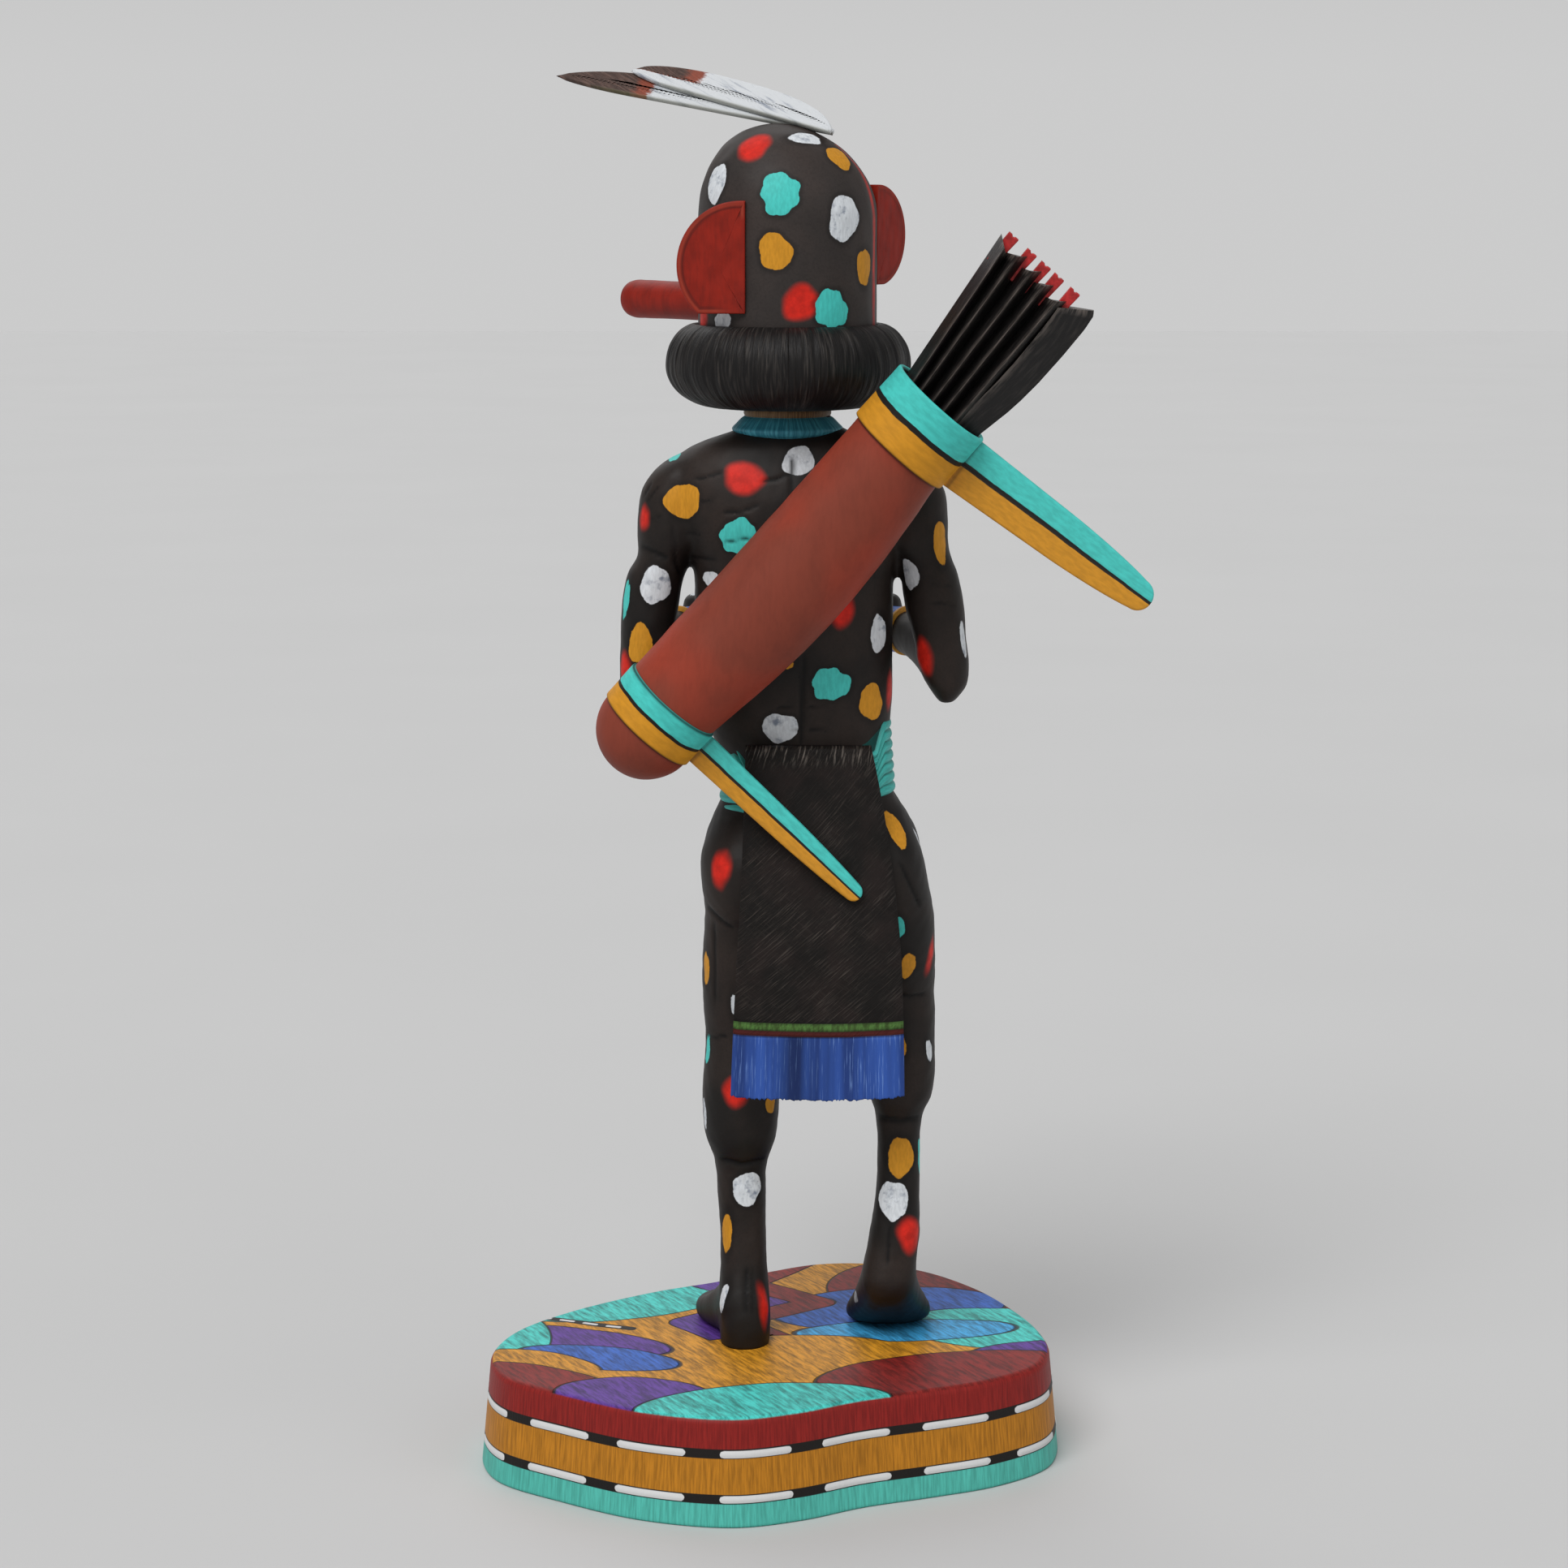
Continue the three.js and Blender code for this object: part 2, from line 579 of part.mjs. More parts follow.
// The body swells between its bands, more on the side that hangs down.
function quiverRing([radius, height]) {
  const bodyLength = quiverLength - upperBandWidth - lowerBandWidth;
  const share = THREE.MathUtils.clamp((height - lowerBandWidth) / bodyLength, 0, 1);
  const belly = quiverBelly * Math.sin(Math.PI * share);
  const ring = [];
  const sides = 22;
  for (let i = 0; i < sides; i += 1) {
    const angle = (2 * Math.PI * i) / sides;
    const across = 1.15 * belly + (radius + belly) * Math.cos(angle);
    const out = (radius + 0.4 * belly) * Math.sin(angle);
    ring.push(onQuiver(across, height - quiverLength, out));
  }
  return ring;
}

function quiverSolid() {
  const inner = upperBandRadius - socketWall;
  const socket = [[inner, quiverLength], [inner, quiverLength - socketDepth]];
  return toSolid(loft([...quiverRows(0), ...socket].map(quiverRing)));
}

// The space that the quiver takes, socket and all
const quiverEnvelope = (grow) => toSolid(loft(quiverRows(grow).map(quiverRing)));

// A tie end: a flat tongue from the band, tapering to a round tip
function tieSolid(start, tip, width, fullLength, grow) {
  const along = tip.clone().sub(start).normalize();
  const facing = vector(0, 1, 0).addScaledVector(along, -along.y).normalize();
  const across = vector(0, 0, 0).crossVectors(facing, along);
  const length = fullLength + grow;
  const half = width / 2 + grow;
  const endHalf = half * 0.56;
  const buried = 4;
  const outline = new THREE.Shape();
  outline.moveTo(-buried, -half);
  outline.lineTo(length * 0.55, -half * 0.86);
  outline.quadraticCurveTo(length * 0.8, -half * 0.76, length - endHalf, -endHalf);
  outline.absarc(length - endHalf, 0, endHalf, -Math.PI / 2, Math.PI / 2, false);
  outline.quadraticCurveTo(length * 0.8, half * 0.76, length * 0.55, half * 0.86);
  outline.lineTo(-buried, half);
  const slab = new THREE.ExtrudeGeometry(outline, {
    depth: tieThickness + 2 * grow, curveSegments: 8, bevelEnabled: false,
  });
  slab.translate(0, 0, -tieThickness / 2 - grow);
  return toSolid(placed(slab, along, across, facing, start)).subtract(quiverEnvelope(fitGap));
}

function upperTie(grow) {
  const start = onQuiver(upperBandRadius, -upperBandWidth / 2, -2);
  const tip = start.clone().add(vector(-63, -3, -47));
  return tieSolid(start, tip, upperTieWidth, upperTieLength, grow);
}

function lowerTie(grow) {
  const start = onQuiver(lowerBandRadius, lowerBandWidth / 2 - quiverLength, -1);
  const tip = start.clone().add(vector(-53.2, -2.5, -51));
  return tieSolid(start, tip, lowerTieWidth, lowerTieLength, grow);
}

// Arrow feathers: a fan of sharp-edged vanes that stands in the socket. Each vane is
// [across at the mouth, across at the tip, half width, tip length as a share, side whose corner drops].
const vanes = [
  [-12, -17.6, 2.9, 1, 1], [-8.2, -12.4, 3.2, 1.015, -1], [-3, -5.6, 3.2, 1.01, -1], [1.8, 0.4, 3.2, 1, -1],
  [7, 6.8, 3.4, 0.985, -1],
];
const vaneDepthAtMouth = 8.2;
const vaneDepthAtTip = 9.6;
const vaneTipWidening = 1.15;
const vaneCornerDrop = 4.4;

function vaneSolid([mouth, tip, halfWidth, share, droppedSide]) {
  const foot = -(socketDepth - fitGap);
  const rows = [[foot, mouth, 0.8], [0, mouth, 1], [bundleLength * share, tip, vaneTipWidening]];
  const rings = rows.map(([along, across, widen], row) => {
    const atTip = row === rows.length - 1;
    const depth = atTip ? vaneDepthAtTip : vaneDepthAtMouth;
    const drop = atTip ? vaneCornerDrop : 0;
    const wide = halfWidth * widen;
    return [
      onQuiver(across - wide, along - (droppedSide < 0 ? drop : 0), 0), onQuiver(across, along - drop / 2, depth),
      onQuiver(across + wide, along - (droppedSide > 0 ? drop : 0), 0), onQuiver(across, along - drop, -depth),
    ];
  });
  return toSolid(loft(rings));
}

// The wide outer vane, flat towards the right edge, whose outer corner stands highest:
// [along, across inside, across outside, half depth, rise of the outer corner]
function outerVaneSolid() {
  const foot = -(socketDepth - fitGap);
  const rows = [
    [foot, 8, 15.2, 4, 0], [0, 8, 16.5, 5, 0], [16, 8.6, 19.2, 5, 0], [bundleLength * 0.93, 9, 19, 5.5, 4],
  ];
  const rings = rows.map(([along, inner, outer, depth, rise]) => [
    onQuiver(inner, along, depth), onQuiver(outer, along + rise, 1.2),
    onQuiver(outer, along + rise, -1.6), onQuiver(inner, along, -depth),
  ]);
  return toSolid(loft(rings));
}

// A nock: a flared end with a notch, standing on its arrow between two vanes
function nockSolid(across) {
  const half = nockWidth / 2;
  const outline = new THREE.Shape();
  outline.moveTo(-half * 0.62, -8);
  outline.lineTo(half * 0.62, -8);
  outline.lineTo(half, nockLength);
  outline.lineTo(half * 0.35, nockLength);
  outline.lineTo(0, nockLength * 0.72);
  outline.lineTo(-half * 0.35, nockLength);
  outline.lineTo(-half, nockLength);
  const block = new THREE.ExtrudeGeometry(outline, { depth: nockWidth, bevelEnabled: false });
  block.translate(0, 0, -nockWidth / 2);
  const at = onQuiver(across, bundleLength - 6, 1.5);
  return toSolid(placed(block, quiverAcross, quiverUp, quiverOut, at));
}

function bundleSolid() {
  const nockPlaces = [-17, -8.9, -2.6, 3.2, 10.2];
  return join([...vanes.map(vaneSolid), outerVaneSolid(), ...nockPlaces.map(nockSolid)]);
}

// Base: a thick slab with a kidney outline, battered sides and a rounded top edge

const baseOutlineDrawn = [
  [101, 24], [94, 51], [71, 72], [42, 91], [12, 98], [-10, 91], [-32, 77.5], [-55, 67.5], [-77.5, 56], [-95.5, 38],
  [-101, 16], [-99, -8], [-91.5, -34], [-78.5, -63], [-58, -88], [-36, -98], [-15, -96.5], [5, -85], [24, -72],
  [46, -59], [76, -33], [95, -6],
];
const baseDrawnWidth = 202;
const baseDrawnDepth = 196;

function baseRing(height, inset) {
  const curve = new THREE.CatmullRomCurve3(baseOutlineDrawn.map(([x, y]) => (
    vector((x * baseWidth) / baseDrawnWidth, (y * baseDepth) / baseDrawnDepth, 0)
  )), true, 'centripetal');
  const count = 52;
  const ring = [];
  for (let i = 0; i < count; i += 1) {
    const point = curve.getPointAt(i / count);
    const tangent = curve.getTangentAt(i / count);
    const outward = vector(tangent.y, -tangent.x, 0);
    if (outward.dot(point) < 0) outward.negate();
    ring.push(point.addScaledVector(outward, -inset).setZ(height));
  }
  return ring;
}

function baseSolid() {
  const top = baseHeight;
  const round = baseEdgeRound;
  return toSolid(loft([
    baseRing(0, 1), baseRing(1.2, 0), baseRing(top - round, baseBatter),
    baseRing(top - 0.35 * round, baseBatter + 0.35 * round), baseRing(top, baseBatter + round),
  ]));
}

// Assembly

function figureSolid() {
  const cutters = [
    quiverEnvelope(fitGap), snoutSolid(fitGap), leftEar(fitGap), rightEar(fitGap),
    longFeather(fitGap), shortFeather(fitGap), upperTie(fitGap), lowerTie(fitGap), groundCutter(),
  ];
  return cutters.reduce((whole, cutter) => whole.subtract(cutter), figureBlank());
}

const doll = new THREE.Group();

function addPiece(name, solid, color, raised) {
  const material = new THREE.MeshStandardMaterial({ color, roughness: 0.6, metalness: 0 });
  const mesh = new THREE.Mesh(toGeometry(solid), material);
  mesh.name = name;
  mesh.position.z = raised ? soleHeight : 0;
  doll.add(mesh);
}

addPiece('base', baseSolid(), paint.base, false);
addPiece('figure', figureSolid(), paint.body, true);
addPiece('ear_left', leftEar(0), paint.red, true);
addPiece('ear_right', rightEar(0), paint.red, true);
addPiece('snout', snoutSolid(0), paint.red, true);
addPiece('feather_long', longFeather(0), paint.white, true);
addPiece('feather_short', shortFeather(0), paint.white, true);
addPiece('quiver', quiverSolid(), paint.quiver, true);
addPiece('arrow_bundle', bundleSolid(), paint.fletching, true);
addPiece('quiver_tie_upper', upperTie(0), paint.teal, true);
addPiece('quiver_tie_lower', lowerTie(0), paint.teal, true);

export default doll;
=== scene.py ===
# The looks of the kachina doll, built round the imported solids.
# The drawing is in millimetres with +Z up; the figure's heights are above its soles. The body faces -Y.
import math

import bpy
import numpy as np
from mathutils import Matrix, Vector
from mathutils.bvhtree import BVHTree


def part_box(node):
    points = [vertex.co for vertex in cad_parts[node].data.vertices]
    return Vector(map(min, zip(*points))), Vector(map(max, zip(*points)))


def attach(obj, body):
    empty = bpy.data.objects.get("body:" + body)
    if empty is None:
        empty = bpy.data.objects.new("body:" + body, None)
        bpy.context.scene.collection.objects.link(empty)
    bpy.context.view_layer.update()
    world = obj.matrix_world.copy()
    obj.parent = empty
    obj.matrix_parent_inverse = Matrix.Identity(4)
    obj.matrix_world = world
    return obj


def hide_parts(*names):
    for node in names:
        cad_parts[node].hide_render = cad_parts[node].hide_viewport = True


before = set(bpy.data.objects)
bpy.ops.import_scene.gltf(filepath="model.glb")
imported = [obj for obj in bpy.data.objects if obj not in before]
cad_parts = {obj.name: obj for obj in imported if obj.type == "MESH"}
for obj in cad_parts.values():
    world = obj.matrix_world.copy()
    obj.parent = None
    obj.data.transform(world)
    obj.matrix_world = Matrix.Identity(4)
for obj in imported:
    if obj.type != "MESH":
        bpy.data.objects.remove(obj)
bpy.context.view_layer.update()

# Frame
DRAWN_HEIGHT = 424.0
figure_low, figure_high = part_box("figure")
base_low, base_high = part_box("base")
UNIT = (figure_high.z - figure_low.z) / DRAWN_HEIGHT
SOLE = figure_low.z / UNIT
BASE_TOP = base_high.z / UNIT

# Camera, in the same millimetres: the photograph's frame is PHOTO_SIDE pixels each way
PHOTO_SIDE = 1932
FOCAL_PIXELS = 4929.0
CAMERA = np.array([-4.6, 1372.0, 451.0])
CAMERA_PITCH = math.radians(8.947)
SENSOR_MM = 36.0

# Figure
NECK_AXIS_X = -5.8
HEAD_RADIUS = 30.4
HEAD_FOOT = 343.0
DOME_START = 392.0
DOME_RISE = 32.0
CROWN_LEAN = 3.8
RUFF_BOTTOM = 328.2
RUFF_HEIGHT = 28.4
RUFF_PROFILE = [
    (12.5, 0.06), (17, 0.015), (24, 0.0), (32.5, 0.07), (38.5, 0.22), (41.4, 0.42), (41.5, 0.6), (39.6, 0.8),
    (35.8, 0.95), (31.5, 1.0), (29.6, 0.96),
]
RUFF_COLUMNS = 520
COLLAR_COLUMNS = 260
COLLAR_PROFILE = [
    (8, 315.6), (15.8, 318.4), (18.5, 319.9), (19, 320.8), (17.5, 322.8), (15.2, 325), (14.6, 325.4),
    (14.9, 326), (14.8, 327.6), (13.8, 329.6),
]
COLLAR_FOOT = 317.0
NECK_RING = 8.2
HEAD_TURN = math.radians(42)
FACE_ANGLE = math.pi - HEAD_TURN

# Painted bands of the aprons, as heights above the hem
GREEN_TOP = 26.3
GREEN_FOOT = 23.6
FRINGE_TOP = 21.7

# Quiver
QUIVER_RADIUS = 17.2
QUIVER_BELLY = 2.3
QUIVER_LENGTH = 149.0
QUIVER_SLOPE = math.radians(48.4)
QUIVER_LEAN = math.radians(5.4)
UPPER_BAND = 21.7
UPPER_BAND_RADIUS = 18.7
LOWER_BAND = 13.8
LOWER_BAND_RADIUS = 18.0
SOCKET_WALL = 1.7
SOCKET_DEPTH = 14.0
BUNDLE_LENGTH = 52.5

# Paint colours
TEAL = (0.065, 0.54, 0.49)
# The spots' teal darkened by painted shade, for the belt
SHADED_BELT_TEAL = (0.055, 0.43, 0.39)
OCHRE = (0.58, 0.255, 0.018)
WHITE = (0.66, 0.69, 0.72)
RED = (0.60, 0.019, 0.010)
BODY = (0.0120, 0.0100, 0.0090)
BODY_WARM = (0.0290, 0.0200, 0.0165)
HEAD_DARK = (0.034, 0.028, 0.026)
HEAD_WARM = (0.048, 0.036, 0.032)
BLACK = (0.006, 0.005, 0.005)
MASK_RED = (0.255, 0.014, 0.006)
PURPLE = (0.105, 0.040, 0.27)
BLUE = (0.035, 0.12, 0.46)
LIGHT_BLUE = (0.05, 0.33, 0.62)
DARK_RED = (0.215, 0.016, 0.013)


# Points, rings and meshes

def unit_vector(v):
    v = np.asarray(v, float)
    return v / np.linalg.norm(v)


def smooth_rows(rows, spacing):
    """A smooth run of rows through the given ones; the first three numbers of a row are its place."""
    rows = np.asarray(rows, float)
    steps = np.linalg.norm(np.diff(rows[:, :3], axis=0), axis=1)
    knots = np.concatenate([[0], np.cumsum(steps)])
    slopes = np.gradient(rows, knots, axis=0)
    t = np.linspace(0, knots[-1], max(2, int(round(knots[-1] / spacing))))
    i = np.clip(np.searchsorted(knots, t, side="right") - 1, 0, len(rows) - 2)
    h = (knots[i + 1] - knots[i])[:, None]
    f = (t - knots[i])[:, None] / h
    return ((2 * f**3 - 3 * f**2 + 1) * rows[i] + (f**3 - 2 * f**2 + f) * h * slopes[i]
            + (3 * f**2 - 2 * f**3) * rows[i + 1] + (f**3 - f**2) * h * slopes[i + 1])


def section(sides, squareness):
    """Unit section of a limb: 2 is an ellipse and more is squarer."""
    angle = np.linspace(0, 2 * math.pi, sides, endpoint=False)
    power = 2 / squareness
    c, s = np.cos(angle), np.sin(angle)
    return np.sign(c) * np.abs(c)**power, np.sign(s) * np.abs(s)**power


def column(stations, squareness=2.2, sides=56, spacing=1.2):
    """Level rings up a limb that stands: each station is x, y, z, half width, depth behind and,
    where it differs, depth in front."""
    rows = smooth_rows(stations, spacing)
    c, s = section(sides, squareness)
    x = rows[:, :1] + rows[:, 3:4] * c
    y = rows[:, 1:2] + np.where(s > 0, rows[:, 4:5], rows[:, -1:]) * s
    return np.stack([x, y, np.repeat(rows[:, 2:3], sides, 1)], -1)


def limb(stations, squareness=2.2, sides=56, spacing=1.2):
    """Rings square to the path of a limb that lies over: the same stations."""
    rows = smooth_rows(stations, spacing)
    c, s = section(sides, squareness)
    along = np.gradient(rows[:, :3], axis=0)
    along /= np.linalg.norm(along, axis=1)[:, None]
    side = np.array([1.0, 0, 0]) - along * along[:, :1]
    side /= np.linalg.norm(side, axis=1)[:, None]
    up = np.cross(side, along)
    return (rows[:, None, :3] + (rows[:, 3:4] * c)[..., None] * side[:, None]
            + (rows[:, 4:5] * s)[..., None] * up[:, None])


def quads(rows, columns):
    """Quad faces between rings of points, each ring closed."""
    r, c = np.meshgrid(np.arange(rows - 1), np.arange(columns), indexing="ij")
    a = r * columns + c
    b = r * columns + (c + 1) % columns
    return np.stack([a, b, b + columns, a + columns], -1).reshape(-1, 4)


def outward_quads(points, faces):
    """The quads of a closed form, turned over if they face its middle."""
    p = points[faces]
    normal = np.cross(p[:, 2] - p[:, 0], p[:, 3] - p[:, 1])
    away = p.mean(1) - points.mean(0)
    return faces if (normal * away).sum() > 0 else faces[:, ::-1]


def shell(rings, capped=True):
    """Points and faces of a closed form through rings, with a cap at each end."""
    rows, columns = rings.shape[:2]
    points = rings.reshape(-1, 3)
    side = quads(rows, columns)
    turned = outward_quads(points, side)
    faces = turned.tolist()
    if capped:
        flip = 1 if turned is side else -1
        first = list(range(columns))
        last = [i + (rows - 1) * columns for i in first]
        faces += [first[::-flip], last[::flip]]
    return points, faces


def merged(shells):
    """Several forms as one list of points and faces."""
    points, faces, start = [], [], 0
    for more_points, more_faces in shells:
        points.append(more_points)
        faces += [[i + start for i in face] for face in more_faces]
        start += len(more_points)
    return np.concatenate(points), faces


def new_mesh(name, points, faces):
    mesh = bpy.data.meshes.new(name)
    mesh.from_pydata((np.asarray(points) * UNIT).tolist(), [], faces)
    mesh.polygons.foreach_set("use_smooth", [True] * len(mesh.polygons))
    return mesh


def add_marks(mesh, marks):
    """Per-point numbers that the paint reads by name."""
    for name, values in marks.items():
        mark = mesh.attributes.new(name, "FLOAT", "POINT")
        mark.data.foreach_set("value", np.asarray(values, np.float32))


def add_flat_places(mesh, places):
    """A flat place in millimetres for each point, which the paint reads as its UV map."""
    layer = mesh.uv_layers.new(name="flat")
    loops = np.empty(len(mesh.loops), int)
    mesh.loops.foreach_get("vertex_index", loops)
    layer.data.foreach_set("uv", np.asarray(places, np.float32)[loops].ravel())


def piece(name, node, mesh, material, sharp=None):
    """Shows a mesh in place of a solid of the frame."""
    made = bpy.data.objects.new(name, mesh)
    bpy.context.scene.collection.objects.link(made)
    mesh.materials.append(material)
    if sharp:
        mesh.set_sharp_from_angle(angle=math.radians(sharp))
    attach(made, "root")
    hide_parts(node)


def grid_piece(name, node, rings, material, capped=True, places=None, marks=None, sharp=None):
    """A piece through rings of points; places and marks follow the rings' order."""
    mesh = new_mesh(name, *shell(rings, capped))
    if places is not None:
        add_flat_places(mesh, np.asarray(places).reshape(-1, 2))
    for key, value in (marks or {}).items():
        add_marks(mesh, {key: np.broadcast_to(value, rings.shape[:2]).ravel()})
    piece(name, node, mesh, material, sharp)


def ripple(points, length, seed, waves=7):
    """A soft uneven field between about -1 and 1 that changes over the given length."""
    chance = np.random.default_rng(seed)
    total = np.zeros(len(points))
    for _ in range(waves):
        direction = unit_vector(chance.normal(size=3))
        stretch = chance.uniform(0.7, 1.5)
        total += np.sin(points @ direction * (2 * math.pi / (length * stretch)) + chance.uniform(0, 6.3))
    return total / math.sqrt(waves)


def joined(name, shells, voxel, rounds):
    """One skin over several overlapping forms, softened where they meet: points, normals and faces."""
    points, faces = merged(shells)
    rough = bpy.data.objects.new(name + "_rough", new_mesh(name + "_rough", points, faces))
    bpy.context.scene.collection.objects.link(rough)
    remesh = rough.modifiers.new("skin", "REMESH")
    remesh.mode = "VOXEL"
    remesh.voxel_size = voxel * UNIT
    skin = bpy.data.meshes.new_from_object(rough.evaluated_get(bpy.context.evaluated_depsgraph_get()))
    bpy.data.objects.remove(rough)
    skin_points = np.empty(len(skin.vertices) * 3)
    skin.vertices.foreach_get("co", skin_points)
    skin_points = skin_points.reshape(-1, 3) / UNIT
    corners = np.empty(len(skin.loops), int)
    skin.loops.foreach_get("vertex_index", corners)
    skin_faces = corners.reshape(-1, 4)
    bpy.data.meshes.remove(skin)
    skin_points = softened(skin_points, skin_faces, rounds)
    return skin_points, skin_faces


def softened(points, faces, rounds, share=0.6):
    """Moves each point part of the way to the middle of its neighbours, several times."""
    a = faces.ravel()
    b = np.roll(faces, -1, axis=1).ravel()
    count = np.bincount(a, minlength=len(points)) + np.bincount(b, minlength=len(points))
    for _ in range(rounds):
        mean = np.stack([
            np.bincount(a, points[b, k], len(points)) + np.bincount(b, points[a, k], len(points))
            for k in range(3)
        ], -1) / count[:, None]
        points = points + share * (mean - points)
    return points


def normals_of(points, faces):
    """The unit normal at each point of a mesh of quads."""
    p = points[faces]
    normal = np.cross(p[:, 2] - p[:, 0], p[:, 3] - p[:, 1])
    total = np.stack([
        sum(np.bincount(faces[:, k], normal[:, axis], len(points)) for k in range(4)) for axis in range(3)
    ], -1)
    return total / np.maximum(np.linalg.norm(total, axis=1), 1e-9)[:, None]


# Seeing the surface as the photograph does

def raised(points):
    """From heights above the soles to heights above the ground."""
    return points + np.array([0, 0, SOLE])


def pixels(points):
    """Where points above the ground fall in the photograph."""
    d = points - CAMERA
    level, down = math.cos(CAMERA_PITCH), math.sin(CAMERA_PITCH)
    depth = -d[:, 1] * level - d[:, 2] * down
    u = PHOTO_SIDE / 2 - FOCAL_PIXELS * d[:, 0] / depth
    v = PHOTO_SIDE / 2 - FOCAL_PIXELS * (-d[:, 1] * down + d[:, 2] * level) / depth
    return np.stack([u, v], -1)


def sight_line(u, v):
    """The direction from the camera through a pixel of the photograph."""
    a = (u - PHOTO_SIDE / 2) / FOCAL_PIXELS
    b = (PHOTO_SIDE / 2 - v) / FOCAL_PIXELS
    level, down = math.cos(CAMERA_PITCH), math.sin(CAMERA_PITCH)
    return unit_vector([-a, -level - b * down, -down + b * level])


def distance_to_path(places, path):
    """Distance of flat places from a run of straight lines, and how far along it they are, 0 to 1."""
    path = np.asarray(path, float)
    best = np.full(len(places), 1e9)
    share = np.zeros(len(places))
    lengths = np.linalg.norm(np.diff(path, axis=0), axis=1)
    whole, done = lengths.sum(), 0.0
    for start, end, length in zip(path[:-1], path[1:], lengths):
        t = np.clip((places - start) @ (end - start) / length**2, 0, 1)
        away = np.linalg.norm(places - start - t[:, None] * (end - start), axis=1)
        nearer = away < best
        best = np.where(nearer, away, best)
        share = np.where(nearer, (done + t * length) / whole, share)
        done += length
    return best, share


# Spots: how far outside one a point is still measured, how far under its middle it still reaches, how much
# higher than wide one of the hidden side is, and from how far off it is aimed, in millimetres
SPOT_REACH = 6.0
SPOT_DEPTH = 14
HIDDEN_SPOT_HEIGHT = 1.1
FAR_OFF = 200.0


def spot_marks(points, normals, faces, seen_spots, hidden_spots, seed):
    """For each paint colour, how far inside one of its spots a point is, in millimetres.
    Seen spots are (colour, pixel u, pixel v, width, height in pixels); hidden ones are
    (colour, x, z, side that they face as -1 front or 1 back, width in millimetres)."""
    tree = BVHTree.FromPolygons(points.tolist(), faces.tolist())
    chance = np.random.default_rng(seed)
    marks = {name: np.full(len(points), -SPOT_REACH) for name in ("teal", "ochre", "white", "red")}
    rays = []
    for colour, u, v, width, height in seen_spots:
        rays.append((colour, CAMERA, sight_line(u, v), width, height, True))
    for colour, x, z, side, width in hidden_spots:
        start, direction = np.array([x, side * FAR_OFF, z]), np.array([0.0, -side, 0.0])
        rays.append((colour, start, direction, width, width * HIDDEN_SPOT_HEIGHT, False))
    for colour, origin, direction, width, height, in_pixels in rays:
        hit, normal, _, distance = tree.ray_cast(Vector(origin), Vector(direction))
        if hit is None:
            continue
        size = distance / FOCAL_PIXELS if in_pixels else 1.0
        normal = np.array(normal)
        lies_flat = abs(normal[2]) > 0.95
        level = np.array([1.0, 0, 0]) if lies_flat else unit_vector(np.cross([0, 0, 1.0], normal))
        upright = np.cross(normal, level)
        shown = [max(0.3, 1 - float(axis @ direction)**2)**0.25 for axis in (level, upright)]
        half_w, half_h = width * size / 2 / shown[0], height * size / 2 / shown[1]
        d = points - np.array(hit)
        a, b = d @ level / half_w, d @ upright / half_h
        angle = np.arctan2(b, a)
        edge = np.ones(len(points))
        for lobes, strength in ((2, 0.06), (3, 0.06), (5, 0.03), (7, 0.055 if colour == "teal" else 0.015)):
            edge += strength * np.cos(lobes * angle + chance.uniform(0, 6.3))
        inside = (edge - np.hypot(a, b)) * min(half_w, half_h)
        near = (np.abs(d @ normal) < SPOT_DEPTH) & (normals @ normal > 0.0)
        marks[colour] = np.maximum(marks[colour], np.where(near, inside, -SPOT_REACH))
    return marks


# Paint

